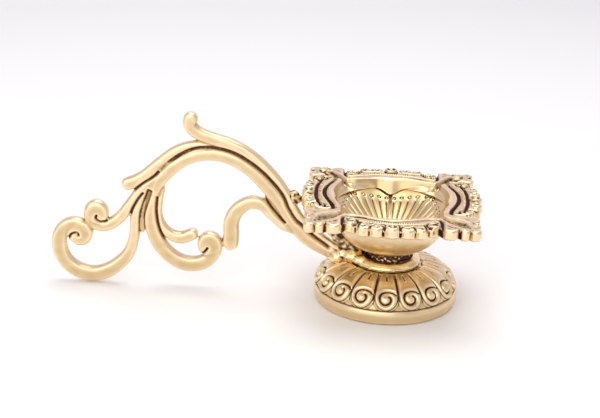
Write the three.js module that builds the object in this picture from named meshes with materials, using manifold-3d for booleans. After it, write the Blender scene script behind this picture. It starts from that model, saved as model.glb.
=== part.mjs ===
// Cast brass hand lamp: a four-sided bowl with scrolled wick corners, a domed foot chased with
// curled petals, and a flat scrollwork handle.
// Millimetres, +Z up. The foot's axis is the lamp's own axis; the handle runs towards -X.
import * as THREE from "three";
import { mergeVertices } from "three/addons/utils/BufferGeometryUtils.js";
import Module from "manifold-3d";

const wasm = await Module();
wasm.setup();

// Driving sizes
const SEAT = 0.1; // gap between faces that are clamped or brazed together
const CLEAR = 0.3; // gap round a pin in its bore

const FOOT_RADIUS = 30.3; // widest point of the plain band
const FOOT_HEIGHT = 16.2; // up to the flat land that carries the neck ring
const FOOT_BAND = 5.8; // height of the plain band
const FOOT_WALL = 3.0;
const PETALS = 17;
const PETAL_RELIEF = 0.75; // height of the petals above the dome
const PETAL_GAP = 0.9; // groove between two petals

const RING_RADIUS = 14.2; // neck ring, at its lower edge
const RING_HEIGHT = 2.8;
const LUG_RISE = 3.2; // middle of the lug's end above the ring's seat
const LUG_HEIGHT = 5.6;
const LUG_WIDTH = 6.0;

const BOWL_HEIGHT = 25.9; // from the ring to the tops of the rim's rosettes
const BOWL_WALL = 1.6;
const SHELL_INSET = 1.5; // outside of the round shell, inside the inner ridge at the middle of a side
const FLOOR_THICK = 1.6; // between the stud's end and the bowl's inside
const NECK_RADIUS = 9.9;
const NECK_HEIGHT = 3.1;

const RIM_HALF = 35.1; // from the axis to a corner block's flat side
const RIM_THICK = 4.0;
const RIM_BEVEL = 0.5;
const ROSETTE_RADIUS = 3.0; // column in the middle of a side
const ROSETTE_PROUD = 0.4; // its middle, outside the corner blocks' flat side
const ROSETTE_RISE = 0.4; // its boss above the rim's top
const RIDGE_WIDTH = 2.3; // the two waved ridges along a side
const RIDGE_SPACING = 3.7;
const FURROW_WIDTH = 1.5; // between and beside the ridges
const FURROW_DEPTH = 1.2;
const RIDGE_INSET = 9.1; // from a corner block's flat side in to the inner ridge, at the middle of a side
const WAVE_SWING = 3.8; // how far the ridges wave in and out
const WAVE_REACH = 17.6; // along the side from its middle to an inward bulge
const THROAT_SPREAD = 8; // how fast the mouth opens past the bulge, in mm per radian

const LIP_DROP = 6.1; // the collar's lip below the rim's top, at the middle of a side
const LIP_PROUD = 0.45; // the lip stands in front of the bowl's inside
const COLLAR_LEAST = 1.0; // the collar's height at a corner
const FLARE_HEIGHT = 7.5; // of the part of the bowl that opens from round to the ridges' plan
const RIBS = 40; // chased round the inside of the bowl
const RIB_DROP = 8.7; // their tops below the rim's top, at the middle of a side
const RIB_CLIMB = 4.0; // how much higher they start at a corner
const RIB_RELIEF = 0.5;

const HANDLE_THICK = 5.2;
const HANDLE_LIFT = 0.4; // lowest turn of the handle above the table
const STRAND_STEP = 3.2; // spacing of the sections along a strand
const STRAND_GAP = 1.6; // between a rosette of the rim and the handle's upper strand
const TENON_LENGTH = 3.4; // the handle's tail inside the lug
const TENON_SIZE = 3.2;

const STUD_RADIUS = 3;
const STUD_HOLD = 3.6; // stud's upper end inside the bowl's boss
const STUD_CHAMFER = 0.5;
const NUT_ACROSS = 10;
const NUT_HEIGHT = 4.6;
const WASHER_RADIUS = 6.2;
const WASHER_THICK = 1.2;
const STUD_TAIL = 1.5; // stud's lower end below the nut

// Heights that follow: the stack of foot, ring and bowl, and the fasteners that hang below the roof
const RING_BASE = FOOT_HEIGHT + SEAT;
const RING_TOP = RING_BASE + RING_HEIGHT;
const BOWL_BASE = RING_TOP + SEAT;
const RIM_TOP = BOWL_BASE + BOWL_HEIGHT;
const PLATE_TOP = RIM_TOP - ROSETTE_RISE;
const PLATE_BASE = PLATE_TOP - RIM_THICK;
const ROOF_BASE = FOOT_HEIGHT - FOOT_WALL - 0.6;
const WASHER_BASE = ROOF_BASE - SEAT - WASHER_THICK;
const NUT_BASE = WASHER_BASE - SEAT - NUT_HEIGHT;
const STUD_BASE = NUT_BASE - STUD_TAIL;
const STUD_TOP = BOWL_BASE + STUD_HOLD;

// Plan sizes that follow from the rim
const WAVE_MID = RIM_HALF - RIDGE_INSET; // inner ridge from the axis, at the middle of a side
const WAVE_PEAK = WAVE_MID - WAVE_SWING;
const BOWL_RADIUS = WAVE_MID - SHELL_INSET; // outside of the round shell
const WELL_RADIUS = BOWL_RADIUS - BOWL_WALL;
const NECK_WAIST = NECK_RADIUS - 0.6;
const ROSETTE_REACH = RIM_HALF + ROSETTE_PROUD + ROSETTE_RADIUS;
const CURL_LINE = FOOT_RADIUS - 3; // radius at which the petals' round ends stand side by side

// Solids from geometries, and back
function solid(geometry) {
  const g = geometry.index ? geometry.clone() : geometry;
  g.deleteAttribute("normal");
  g.deleteAttribute("uv");
  const merged = mergeVertices(g, 1e-4);
  const mesh = new wasm.Mesh({
    numProp: 3,
    vertProperties: new Float32Array(merged.attributes.position.array),
    triVerts: new Uint32Array(merged.index.array),
  });
  const made = new wasm.Manifold(mesh);
  return made;
}

function geometryOf(manifold) {
  const mesh = manifold.getMesh();
  const g = new THREE.BufferGeometry();
  g.setAttribute("position", new THREE.BufferAttribute(new Float32Array(mesh.vertProperties), 3));
  g.setIndex(new THREE.BufferAttribute(new Uint32Array(mesh.triVerts), 1));
  g.computeVertexNormals();
  return g;
}

function signedVolume(position, index) {
  let sum = 0;
  const a = new THREE.Vector3();
  const b = new THREE.Vector3();
  const c = new THREE.Vector3();
  for (let i = 0; i < index.length; i += 3) {
    a.fromArray(position, index[i] * 3);
    b.fromArray(position, index[i + 1] * 3);
    c.fromArray(position, index[i + 2] * 3);
    sum += a.dot(b.cross(c));
  }
  return sum / 6;
}

// A closed skin over a row of rings with equal point counts, each end closed by a fan
function loft(rings) {
  const count = rings[0].length;
  const position = rings.flat().flatMap((p) => [p.x, p.y, p.z]);
  const middle = (ring) => ring.reduce((m, p) => m.add(p), new THREE.Vector3()).divideScalar(count);
  const first = rings.length * count;
  for (const m of [middle(rings[0]), middle(rings.at(-1))]) position.push(m.x, m.y, m.z);
  const index = [];
  for (let r = 0; r + 1 < rings.length; r++) {
    for (let i = 0; i < count; i++) {
      const j = (i + 1) % count;
      const a = r * count + i;
      const b = r * count + j;
      index.push(a, b, a + count, b, b + count, a + count);
    }
  }
  const last = (rings.length - 1) * count;
  for (let i = 0; i < count; i++) {
    const j = (i + 1) % count;
    index.push(first, j, i, first + 1, last + i, last + j);
  }
  if (signedVolume(position, index) < 0) {
    for (let i = 0; i < index.length; i += 3) [index[i], index[i + 1]] = [index[i + 1], index[i]];
  }
  const g = new THREE.BufferGeometry();
  g.setAttribute("position", new THREE.BufferAttribute(new Float32Array(position), 3));
  g.setIndex(index);
  return g;
}

// A turned solid from [radius, height] points, about the lamp's axis
function turned(points, segments) {
  const g = new THREE.LatheGeometry(points.map(([r, z]) => new THREE.Vector2(r, z)), segments);
  g.rotateX(Math.PI / 2);
  return g;
}

// Foot
const LAND_RADIUS = RING_RADIUS + 0.2;
const domeCurve = new THREE.CubicBezierCurve(
  new THREE.Vector2(FOOT_RADIUS - 0.5, FOOT_BAND),
  new THREE.Vector2(FOOT_RADIUS - 1.3, FOOT_HEIGHT * 0.74),
  new THREE.Vector2(FOOT_RADIUS * 0.76, FOOT_HEIGHT * 0.965),
  new THREE.Vector2(LAND_RADIUS, FOOT_HEIGHT),
);
const DOME_ARC = domeCurve.getLength();
const CURL_RADIUS = (Math.PI * CURL_LINE) / PETALS - PETAL_GAP / 2;
const CURL_CENTRE = CURL_RADIUS + 0.5; // along the dome from its lower edge

// A point of the dome at an arc length from its lower edge, lifted along the surface's normal
function onDome(along, across, angle, lift) {
  const share = Math.min(Math.max(along / DOME_ARC, 0), 1);
  const p = domeCurve.getPointAt(share);
  const t = domeCurve.getTangentAt(share);
  const r = p.x + t.y * lift;
  const a = angle + across / p.x;
  return new THREE.Vector3(r * Math.cos(a), r * Math.sin(a), p.y - t.x * lift);
}

// A petal: a wedge strap that widens down the dome and ends round, like its curl
function petal(angle) {
  const rings = [];
  const rows = 6;
  for (let i = 0; i <= rows; i++) {
    const along = CURL_CENTRE - CURL_RADIUS * 0.97 + ((DOME_ARC - 0.3) / rows) * i * 0.975;
    const below = Math.max(CURL_CENTRE - along, 0);
    const pitch = (Math.PI * domeCurve.getPointAt(Math.min(along / DOME_ARC, 1)).x) / PETALS;
    const half = Math.min(pitch - PETAL_GAP / 2, Math.sqrt(CURL_RADIUS ** 2 - below ** 2));
    const section = [[-1, -0.6], [1, -0.6], [0.86, PETAL_RELIEF], [-0.86, PETAL_RELIEF]];
    rings.push(section.map(([side, lift]) => onDome(along, side * half, angle, lift)));
  }
  return solid(loft(rings));
}

// The spiral groove that turns a petal's round end into a curl
function spiralGroove(angle) {
  const rings = [];
  const steps = 9;
  for (let i = 0; i <= steps; i++) {
    const t = i / steps;
    const turn = Math.PI * (0.1 + 2.1 * t);
    const radius = CURL_RADIUS * (0.42 + 0.36 * (1 - t) + 0.34 * Math.max(0, 1 - 4.5 * t));
    const along = (offset) => CURL_CENTRE + (radius + offset) * Math.sin(turn);
    const across = (offset) => -(radius + offset) * Math.cos(turn);
    const section = [[-0.45, PETAL_RELIEF + 0.4], [0.45, PETAL_RELIEF + 0.4], [0, -0.15]];
    rings.push(section.map(([offset, lift]) => onDome(along(offset), across(offset), angle, lift)));
  }
  return solid(loft(rings));
}

function foot() {
  const dome = domeCurve.getSpacedPoints(5).map((p) => [p.x, p.y]);
  const inner = FOOT_RADIUS - FOOT_WALL;
  const bore = STUD_RADIUS + CLEAR;
  const outline = [
    [inner, 0], [FOOT_RADIUS - 0.9, 0], [FOOT_RADIUS - 0.2, FOOT_BAND * 0.3], [FOOT_RADIUS, FOOT_BAND * 0.66],
    ...dome, [bore, FOOT_HEIGHT], [bore, ROOF_BASE],
    [WASHER_RADIUS + 1, ROOF_BASE], [WASHER_RADIUS + 1.6, ROOF_BASE + 0.6],
    [inner * 0.72, ROOF_BASE - 0.6], [inner - 1.4, FOOT_BAND + 1.4], [inner, 0],
  ];
  let body = solid(turned(outline, 3 * PETALS));
  const step = (2 * Math.PI) / PETALS;
  const front = -Math.PI / 2;
  for (let i = 0; i < PETALS; i++) body = body.add(petal(front + i * step));
  for (let i = 0; i < PETALS; i++) body = body.subtract(spiralGroove(front + i * step));
  return geometryOf(body);
}

// Handle: flat scrollwork in the plane Y = 0, drawn from its shoulder at the lug.
// A strand's points are [distance out, height above the shoulder, width].
const STEM = [
  [0.1, 0.1, 5.8], [8.2, 4.2, 5.9], [14.2, 9.7, 6.0], [20.1, 18.4, 6.1], [26.7, 26.2, 6.1], [35.2, 33.7, 5.8],
  [43.7, 37.8, 5.6], [52.0, 38.5, 5.4], [60.3, 36.1, 5.4], [68.2, 30.0, 5.6], [73.5, 22.3, 5.6],
  [75.6, 12.3, 5.8], [74.2, 2.9, 6.3], [68.6, -5.8, 6.5], [60.2, -10.3, 6.5], [52.4, -9.1, 6.3],
  [48.6, -4.4, 6.0], [49.2, 1.2, 5.2],
];
const FINIAL = [
  [0.4, 3.4, 3.2], [5.4, 7.2, 3.4], [11.8, 13.1, 3.6], [16.6, 20.9, 3.9], [22.2, 28.9, 4.1],
  [30.4, 37.1, 4.4], [38.9, 42.2, 4.8],
  [47.3, 45.0, 5.1], [55.2, 47.1, 5.2], [59.5, 50.4, 5.2], [59.4, 54.7, 5.2],
];
const HOOK = [
  [48.8, 41.7, 2.4], [57.2, 42.1, 3.4], [64.6, 39.4, 4.0], [72.1, 33.5, 4.2], [79.2, 27.3, 4.7],
  [84.6, 24.9, 5.4],
];
const SMALL_CURL = [
  [74.2, 27.1, 3.7], [78.3, 23.4, 4.2], [83.0, 17.1, 4.6], [87.0, 10.6, 4.9], [92.6, 5.4, 5.0],
  [98.0, 4.6, 4.8], [101.3, 8.2, 4.5], [100.4, 12.6, 4.2],
];
const BIG_LOOP = [
  [76.0, 24.3, 3.8], [80.0, 17.4, 4.0], [82.6, 7.5, 4.5], [83.8, -3.0, 5.0], [88.9, -11.8, 6.0],
  [98.8, -17.5, 6.4], [109.0, -15.1, 6.5], [114.6, -6.4, 6.6], [112.4, 2.4, 6.3], [106.8, 4.6, 5.8],
];
const TENDRIL = [
  [70.0, 24.7, 2.4], [71.6, 17.9, 2.4], [71.7, 10.0, 3.0], [68.0, 3.3, 4.6], [62.2, 1.6, 5.3],
  [57.8, 3.0, 5.3],
];
const S_CURL = [
  [41.7, 0.9, 6.9], [41.5, 10.5, 6.7], [37.4, 17.2, 6.1], [30.8, 19.5, 5.5], [25.0, 15.2, 4.9],
  [20.0, 10.4, 4.3], [16.5, 8.8, 3.6],
];
// The thin web that fills the slot between the stem and the big loop, as corners
const WEB = [[76.8, 21], [79.0, 19.8], [81.6, 9], [81, 3.6], [77.2, 5], [76, 12]];

// The strands are sheared upwards, so that the big loop's lowest turn just clears the table
const SHOULDER_LEVEL = RING_BASE + LUG_RISE;
const [LOW_OUT, LOW_HEIGHT, LOW_WIDTH] = BIG_LOOP[5];
const LIFT_RATE = (HANDLE_LIFT - SHOULDER_LEVEL - LOW_HEIGHT + LOW_WIDTH / 2) / LOW_OUT;

// How far out a strand's side that faces the bowl is, where the strand passes a level
function nearSide(points, level) {
  const rise = ([out, height]) => SHOULDER_LEVEL + height + out * LIFT_RATE;
  const i = points.findIndex((point) => rise(point) > level);
  const [below, above] = [points[i - 1], points[i]];
  const share = (level - rise(below)) / (rise(above) - rise(below));
  const [out, , width] = below.map((value, k) => THREE.MathUtils.lerp(value, above[k], share));
  const slant = Math.hypot(above[0] - below[0], above[1] - below[1]) / (above[1] - below[1]);
  return out - (width / 2) * slant;
}

// The lug reaches out so far that the upper strand just clears the rim
const PLATE_MIDDLE = (PLATE_BASE + PLATE_TOP) / 2;
const LUG_REACH = ROSETTE_REACH + STRAND_GAP - SEAT - nearSide(FINIAL, PLATE_MIDDLE);
const SHOULDER = new THREE.Vector2(-LUG_REACH - SEAT, SHOULDER_LEVEL);

function inPlane([out, height]) {
  return new THREE.Vector2(SHOULDER.x - out, SHOULDER.y + height + out * LIFT_RATE);
}

// A strand's section at a place, shrunk and pushed along the strand for its rounded ends
function strandSection(at, direction, width, shrink, push) {
  const sides = 8;
  const half = (width / 2) * shrink;
  const deep = ((0.5 * width + 0.5 * HANDLE_THICK) / 2) * (0.35 + 0.65 * shrink);
  const depth = Math.min(deep, HANDLE_THICK / 2);
  return Array.from({ length: sides }, (_, i) => {
    const a = ((i + 0.5) / sides) * 2 * Math.PI;
    const across = half * squircle(Math.cos(a));
    return new THREE.Vector3(
      at.x - direction.y * across + direction.x * push,
      depth * squircle(Math.sin(a)),
      at.y + direction.x * across + direction.y * push,
    );
  });
}

// Swells a sine or cosine so that a section is between round and square
function squircle(value) {
  return Math.sign(value) * Math.abs(value) ** 0.72;
}

function strand(points) {
  const path = points.map((point) => new THREE.Vector3(inPlane(point).x, inPlane(point).y, point[2]));
  const curve = new THREE.CatmullRomCurve3(path, false, "centripetal");
  const steps = Math.max(5, Math.round(curve.getLength() / STRAND_STEP));
  const place = (t) => {
    const p = curve.getPointAt(t);
    const d = curve.getTangentAt(t);
    return [new THREE.Vector2(p.x, p.y), new THREE.Vector2(d.x, d.y).normalize(), p.z];
  };
  const rings = [];
  const caps = [0.25, 0.7];
  for (const a of caps) {
    const [p, d, w] = place(0);
    rings.push(strandSection(p, d, w, Math.sqrt(1 - (1 - a) ** 2), (-w / 2) * (1 - a)));
  }
  for (let i = 0; i <= steps; i++) rings.push(strandSection(...place(i / steps), 1, 0));
  for (const a of [...caps].reverse()) {
    const [p, d, w] = place(1);
    rings.push(strandSection(p, d, w, Math.sqrt(1 - (1 - a) ** 2), (w / 2) * (1 - a)));
  }
  return solid(loft(rings));
}

// A scroll's round eye, a rounded puck
const EYE_HALF = HANDLE_THICK / 2 + 0.1;
function scrollEye(centre, radius) {
  const { x, y } = inPlane(centre);
  const side = [[radius, -EYE_HALF * 0.45], [radius, EYE_HALF * 0.45]];
  const flat = radius * 0.74;
  const rows = [[0, -EYE_HALF], [flat, -EYE_HALF], ...side, [flat, EYE_HALF], [0, EYE_HALF]];
  return solid(turned(rows, 16).rotateX(Math.PI / 2)).translate([x, 0, y]);
}

// The slit on one face where the scroll's last turn closes on its eye
function eyeSlit(centre, radius, from, turn, face) {
  const { x, y } = inPlane(centre);
  const rings = [];
  const steps = 6;
  for (let i = 0; i <= steps; i++) {
    const a = from + (turn * i) / steps;
    const r = radius * (1.05 - (0.8 * i) / steps);
    const section = [[-0.4, EYE_HALF + 1], [0.4, EYE_HALF + 1], [0, EYE_HALF - 1.5]];
    const point = ([offset, depth]) => {
      const away = r + offset;
      return new THREE.Vector3(x + away * Math.cos(a), face * depth, y + away * Math.sin(a));
    };
    rings.push(section.map(point));
  }
  return solid(loft(rings));
}

function slotWeb() {
  const depth = HANDLE_THICK * 0.42;
  const g = new THREE.ExtrudeGeometry(new THREE.Shape(WEB.map(inPlane)), { depth, bevelEnabled: false });
  g.translate(0, 0, -depth / 2).rotateX(Math.PI / 2);
  return solid(g);
}

// The tail's square tenon, along the stem's own direction
function tenon(grow) {
  const slope = new THREE.Vector2(STEM[1][0] - STEM[0][0], STEM[1][1] - STEM[0][1]).angle();
  const size = TENON_SIZE + 2 * grow;
  const g = new THREE.BoxGeometry(TENON_LENGTH + 3 + 2 * grow, size, size);
  g.translate((TENON_LENGTH - 3) / 2, 0, 0).rotateY(slope).translate(SHOULDER.x, 0, SHOULDER.y);
  return solid(g);
}

function handle() {
  const eyes = [
    [[50.4, -0.6], 5.4, Math.PI * 1.2, Math.PI * 0.55],
    [[98.5, 10.3], 5.1, -Math.PI * 0.2, -Math.PI * 0.6],
    [[105.7, 1.0], 5.6, Math.PI * 0.98, -Math.PI * 0.6],
  ];
  const strands = [STEM, FINIAL, HOOK, SMALL_CURL, BIG_LOOP, TENDRIL, S_CURL].map(strand);
  let body = strands.reduce((a, b) => a.add(b), slotWeb());
  for (const [centre, radius] of eyes) body = body.add(scrollEye(centre, radius));
  for (const [centre, radius, from, turn] of eyes) {
    for (const face of [-1, 1]) body = body.subtract(eyeSlit(centre, radius, from, turn, face));
  }
  return body.subtract(lug(SEAT)).add(tenon(0));
}

// Neck ring: the coned collar, and the lug whose socket holds the handle's tail.
// A loft of rounded sections across X: rows of [x, middle height, height, width]
function bar(rows, grow) {
  const sides = 10;
  const section = ([x, middle, height, width]) =>
    Array.from({ length: sides }, (_, i) => {
      const a = (i / sides) * 2 * Math.PI;
      const y = (width / 2 + grow) * squircle(Math.cos(a));
      return new THREE.Vector3(x, y, middle + (height / 2 + grow) * squircle(Math.sin(a)));
    });
  return solid(loft(rows.map(section)));
}

function lug(grow) {
  // shares of the lug's reach past the ring, rise, height and width
  const shares = [
    [-0.39, 0.5, 0.32, 0.9], [0.06, 0.6, 0.46, 0.97], [0.37, 0.78, 0.75, 1],
    [0.7, 0.85, 0.9, 1], [0.91, 0.94, 1, 0.97], [1, 1, 0.9, 0.87],
  ];
  const rows = shares.map(([reach, rise, height, width]) => [
    -THREE.MathUtils.lerp(RING_RADIUS, LUG_REACH, reach) - grow,
    RING_BASE + LUG_RISE * rise,
    LUG_HEIGHT * height,
    LUG_WIDTH * width,
  ]);
  return bar(rows, grow);
}

function neckRing() {
  const bore = STUD_RADIUS + CLEAR;
  const edge = [[RING_RADIUS - 0.6, 0], [RING_RADIUS, 0.5], [RING_RADIUS - 0.5, 1.1]];
  const cone = [[NECK_RADIUS + 1.7, RING_HEIGHT * 0.74], [NECK_RADIUS + 0.7, RING_HEIGHT]];
  const profile = [[bore, 0], ...edge, ...cone, [bore, RING_HEIGHT], [bore, 0]];
  const ring = solid(turned(profile, 40)).translate([0, 0, RING_BASE]);
  return geometryOf(ring.add(lug(0)).subtract(tenon(SEAT)));
}

// Bowl. One side of the rim has its own frame: u along the side, v outwards.
function wave(u) {
  return WAVE_MID - (WAVE_SWING / 2) * (1 - Math.cos((Math.PI * u) / WAVE_REACH));
}

// A furrow sunk in the rim's top along a half line of points [u, v], mirrored about the side's middle
function furrow(half) {
  const other = half.slice(1).reverse().map(([u, v]) => [-u, v]);
  const points = [...other, ...half].map(([u, v]) => new THREE.Vector3(u, v, 0));
  const curve = new THREE.CatmullRomCurve3(points, false, "centripetal");
  const last = points.length - 1;
  const section = [[-0.6, 0.3], [0.6, 0.3], [0.2, -1], [-0.2, -1]];
  const rings = points.map((_, i) => {
    const p = curve.getPoint(i / last);
    const d = curve.getTangent(i / last);
    const fade = i === 0 || i === last ? 0.3 : 1;
    return section.map(([side, rise]) => {
      const away = side * FURROW_WIDTH * fade;
      return new THREE.Vector3(p.x - d.y * away, -(p.y + d.x * away), PLATE_TOP + rise * FURROW_DEPTH * fade);
    });
  });
  return solid(loft(rings));
}

// The furrow between the two ridges, which turns outwards round the end of the outer one
function innerFurrow() {
  const points = [];
  for (let i = 0; i <= 6; i++) {
    const u = (WAVE_REACH * i) / 6;
    points.push([u, wave(u) + RIDGE_SPACING / 2]);
  }
  for (const [u, v] of [[1.9, 2.8], [2.8, 4.8], [3.4, 7.4]]) points.push([WAVE_REACH + u, WAVE_PEAK + v]);
  return furrow(points);
}

// The furrow between the outer ridge and the columns
function outerFurrow() {
  const points = [];
  for (let i = 0; i <= 5; i++) {
    const u = (WAVE_REACH * 0.86 * i) / 5;
    points.push([u, wave(u) + RIDGE_SPACING * 1.5]);
  }
  return furrow(points);
}

// The columns of a side's edge, from its middle to the corner: [u, inset from the flat side, radius]
const COLUMNS = [
  [0, -ROSETTE_PROUD, ROSETTE_RADIUS],
  [6.3, 0.2, 2.3], [11.4, 1.2, 2.3], [16.3, 4.5, 2.6], [23.5, 2.9, 3.3], [29.2, 2.0, 2.0],
];
const CORNER_COLUMN = 2.2; // radius, and its distance in from both flat sides

// The whole rim's columns in order round the lamp, as [x, y, radius]
function rimColumns() {
  const side = [];
  for (const [u, inset, r] of [...COLUMNS].reverse()) if (u > 0) side.push([-u, RIM_HALF - inset, r]);
  for (const [u, inset, r] of COLUMNS) side.push([u, RIM_HALF - inset, r]);
  side.push([RIM_HALF - CORNER_COLUMN, RIM_HALF - CORNER_COLUMN, CORNER_COLUMN]);
  const all = [];
  for (let k = 0; k < 4; k++) {
    const c = Math.round(Math.cos((Math.PI / 2) * k));
    const s = Math.round(Math.sin((Math.PI / 2) * k));
    for (const [u, v, r] of side) all.push([u * c + v * s, v * c - u * s, r]);
  }
  return all;
}

// Where two neighbouring columns meet on their outer side
function cusp([x0, y0, r0], [x1, y1, r1]) {
  const d = Math.hypot(x1 - x0, y1 - y0);
  const a = (d * d + r0 * r0 - r1 * r1) / (2 * d);
  const h = Math.sqrt(Math.max(r0 * r0 - a * a, 0.04));
  const e = [(x1 - x0) / d, (y1 - y0) / d];
  return [x0 + e[0] * a - e[1] * h, y0 + e[1] * a + e[0] * h];
}

function rimPlate() {
  const columns = rimColumns();
  const outline = [];
  columns.forEach((column, i) => {
    const [x, y, r] = column;
    const from = cusp(columns.at(i - 1), column);
    const to = cusp(column, columns[(i + 1) % columns.length]);
    const start = Math.atan2(from[1] - y, from[0] - x);
    let sweep = Math.atan2(to[1] - y, to[0] - x) - start;
    if (sweep > 0) sweep -= 2 * Math.PI;
    const steps = 4;
    for (let k = 0; k < steps; k++) {
      const a = start + (sweep * (k + 0.15)) / (steps - 0.7);
      outline.push(new THREE.Vector2(x + (r - RIM_BEVEL) * Math.cos(a), y + (r - RIM_BEVEL) * Math.sin(a)));
    }
  });
  const depth = RIM_THICK - 2 * RIM_BEVEL;
  const bevel = { bevelThickness: RIM_BEVEL, bevelSize: RIM_BEVEL, bevelSegments: 1 };
  const g = new THREE.ExtrudeGeometry(new THREE.Shape(outline), { depth, ...bevel });
  g.translate(0, 0, PLATE_BASE + RIM_BEVEL);
  return solid(g);
}

// The rosette in the middle of a side: a ring round a boss
function rosette() {
  const r = ROSETTE_RADIUS - RIM_BEVEL;
  const base = PLATE_TOP - 0.6;
  const ring = [[0, base], [r * 0.96, base], [r * 0.9, RIM_TOP], [r * 0.72, RIM_TOP]];
  const boss = [[r * 0.55, PLATE_TOP], [r * 0.35, RIM_TOP], [0, RIM_TOP]];
  return solid(turned([...ring, ...boss], 14)).translate([0, -RIM_HALF - ROSETTE_PROUD, 0]);
}

// 0 at the middle of a side, 1 on a diagonal
function cornerShare(angle) {
  const quarter = Math.PI / 2;
  const turn = ((angle % quarter) + quarter) % quarter;
  return Math.min(turn, quarter - turn) / (quarter / 2);
}

// The bowl's plan just inside the inner ridges
function mouthRadius(angle) {
  const a = (cornerShare(angle) * Math.PI) / 4;
  const inset = RIDGE_WIDTH / 2 + 0.1;
  let u = 0;
  for (let i = 0; i < 12; i++) u = Math.min((wave(u) - inset) * Math.tan(a), WAVE_REACH);
  const v = wave(u) - inset;
  const past = Math.max(0, a - Math.atan2(WAVE_REACH, WAVE_PEAK - inset));
  return Math.hypot(u, v) + past * THROAT_SPREAD;
}

// A swollen ellipse in section: the radius at a height, for a widest radius and a depth
const SHELL_LEVEL = PLATE_BASE + 0.4;
function swollen(radius, drop, z) {
  const power = 2.2;
  const share = Math.min(Math.max((SHELL_LEVEL - z) / drop, 0), 1);
  return radius * (1 - share ** power) ** (1 / power);
}

// How much wider than round the bowl is at a height, where it opens to the ridges' plan
const FLARE_TOP = PLATE_TOP - 0.7;
const FLARE_BASE = FLARE_TOP - FLARE_HEIGHT;
function flare(angle, z) {
  return (mouthRadius(angle) - WELL_RADIUS) * THREE.MathUtils.smoothstep(z, FLARE_BASE, FLARE_TOP);
}

// A ring of points about the axis, with its height and radius given by functions
function ringOf(count, heightAt, radiusAt) {
  return Array.from({ length: count }, (_, i) => {
    const a = (i / count) * 2 * Math.PI;
    const z = heightAt(a);
    const r = radiusAt(a, z, i);
    return new THREE.Vector3(r * Math.cos(a), r * Math.sin(a), z);
  });
}

// The outside: a round neck, the swollen shell, and its top inside the rim
function shell() {
  const neck = BOWL_BASE + NECK_HEIGHT;
  const drop = SHELL_LEVEL - neck + NECK_HEIGHT * 0.35;
  const rows = [[NECK_RADIUS, BOWL_BASE], [NECK_WAIST, BOWL_BASE + 0.7], [NECK_WAIST, neck - 0.4]];
  const steps = 9;
  for (let i = 0; i <= steps; i++) {
    const z = SHELL_LEVEL - (SHELL_LEVEL - neck) * Math.cos((i / steps) * (Math.PI / 2));
    rows.push([swollen(BOWL_RADIUS, drop, z), z]);
  }
  rows.push([BOWL_RADIUS, PLATE_MIDDLE]);
  return solid(loft(rows.map(([r, height]) => ringOf(RIBS, () => height, (a, z) => r + flare(a, z)))));
}

// The inside: a collar that drapes to a point at each side's middle, over a ribbed round well
function well() {
  const count = 2 * RIBS;
  const drop = SHELL_LEVEL - STUD_TOP - FLOOR_THICK;
  const smooth = (a, z) => swollen(WELL_RADIUS, drop, z) + flare(a, z);
  const ribbed = (a, z, i) => {
    const r = smooth(a, z);
    return r + (i % 2) * RIB_RELIEF * Math.min(1, (1.6 * r) / WELL_RADIUS);
  };
  const lip = (a) => PLATE_TOP - COLLAR_LEAST - (LIP_DROP - COLLAR_LEAST) * (1 - cornerShare(a) ** 0.6);
  const ribTop = (a) => PLATE_TOP - RIB_DROP + RIB_CLIMB * cornerShare(a) ** 1.3;
  const rings = [
    ringOf(count, () => RIM_TOP + 2, (a) => mouthRadius(a) + 0.4),
    ringOf(count, () => PLATE_TOP, (a) => mouthRadius(a) + 0.4),
    ringOf(count, () => PLATE_TOP - 0.5, mouthRadius),
    ringOf(count, lip, (a, z) => smooth(a, z) - LIP_PROUD),
    ringOf(count, (a) => lip(a) - 0.4, smooth),
    ringOf(count, ribTop, smooth),
    ringOf(count, (a) => ribTop(a) - 1.2, ribbed),
  ];
  for (const share of [0.5, 0.67, 0.8, 0.91, 0.985]) {
    rings.push(ringOf(count, () => SHELL_LEVEL - drop * share, ribbed));
  }
  return solid(loft(rings));
}

// A wick channel, a trough from the well out along a corner's diagonal:
// rows of [share of the rim's half side, half width, depth below the rim's top]
function channel() {
  const rows = [
    [0.62, 1.0, 2.0], [0.86, 1.0, 1.9], [0.95, 1.3, 1.5], [1.05, 2.3, 1.0], [1.13, 3.0, 0.6], [1.2, 2.4, 0.1],
  ];
  const rings = rows.map(([share, half, depth]) => {
    const floor = PLATE_TOP - depth;
    const above = RIM_TOP + 1;
    const ledge = floor + 0.7;
    const section = [[-1, above], [1, above], [1, ledge], [0.5, floor], [-0.5, floor], [-1, ledge]];
    return section.map(([side, height]) => new THREE.Vector3(RIM_HALF * share, side * half, height));
  });
  return solid(loft(rings)).rotate([0, 0, 45]);
}

function bowl() {
  const raised = rosette();
  const sunk = innerFurrow().add(outerFurrow()).add(channel());
  let body = shell().add(rimPlate()).subtract(well());
  for (const angle of [0, 90, 180, 270]) {
    body = body.add(raised.rotate([0, 0, angle])).subtract(sunk.rotate([0, 0, angle]));
  }
  const depth = STUD_HOLD + SEAT + 1;
  const bore = new THREE.CylinderGeometry(STUD_RADIUS + SEAT, STUD_RADIUS + SEAT, depth, 24);
  bore.rotateX(Math.PI / 2).translate(0, 0, STUD_TOP + SEAT - depth / 2);
  return body.subtract(solid(bore));
}

// Fasteners, in the hollow of the foot
function stud() {
  const r = STUD_RADIUS;
  const tip = r - STUD_CHAMFER;
  const lower = [[0, STUD_BASE], [tip, STUD_BASE], [r, STUD_BASE + STUD_CHAMFER]];
  const upper = [[r, STUD_TOP - STUD_CHAMFER], [tip, STUD_TOP], [0, STUD_TOP]];
  return turned([...lower, ...upper], 24);
}

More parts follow.
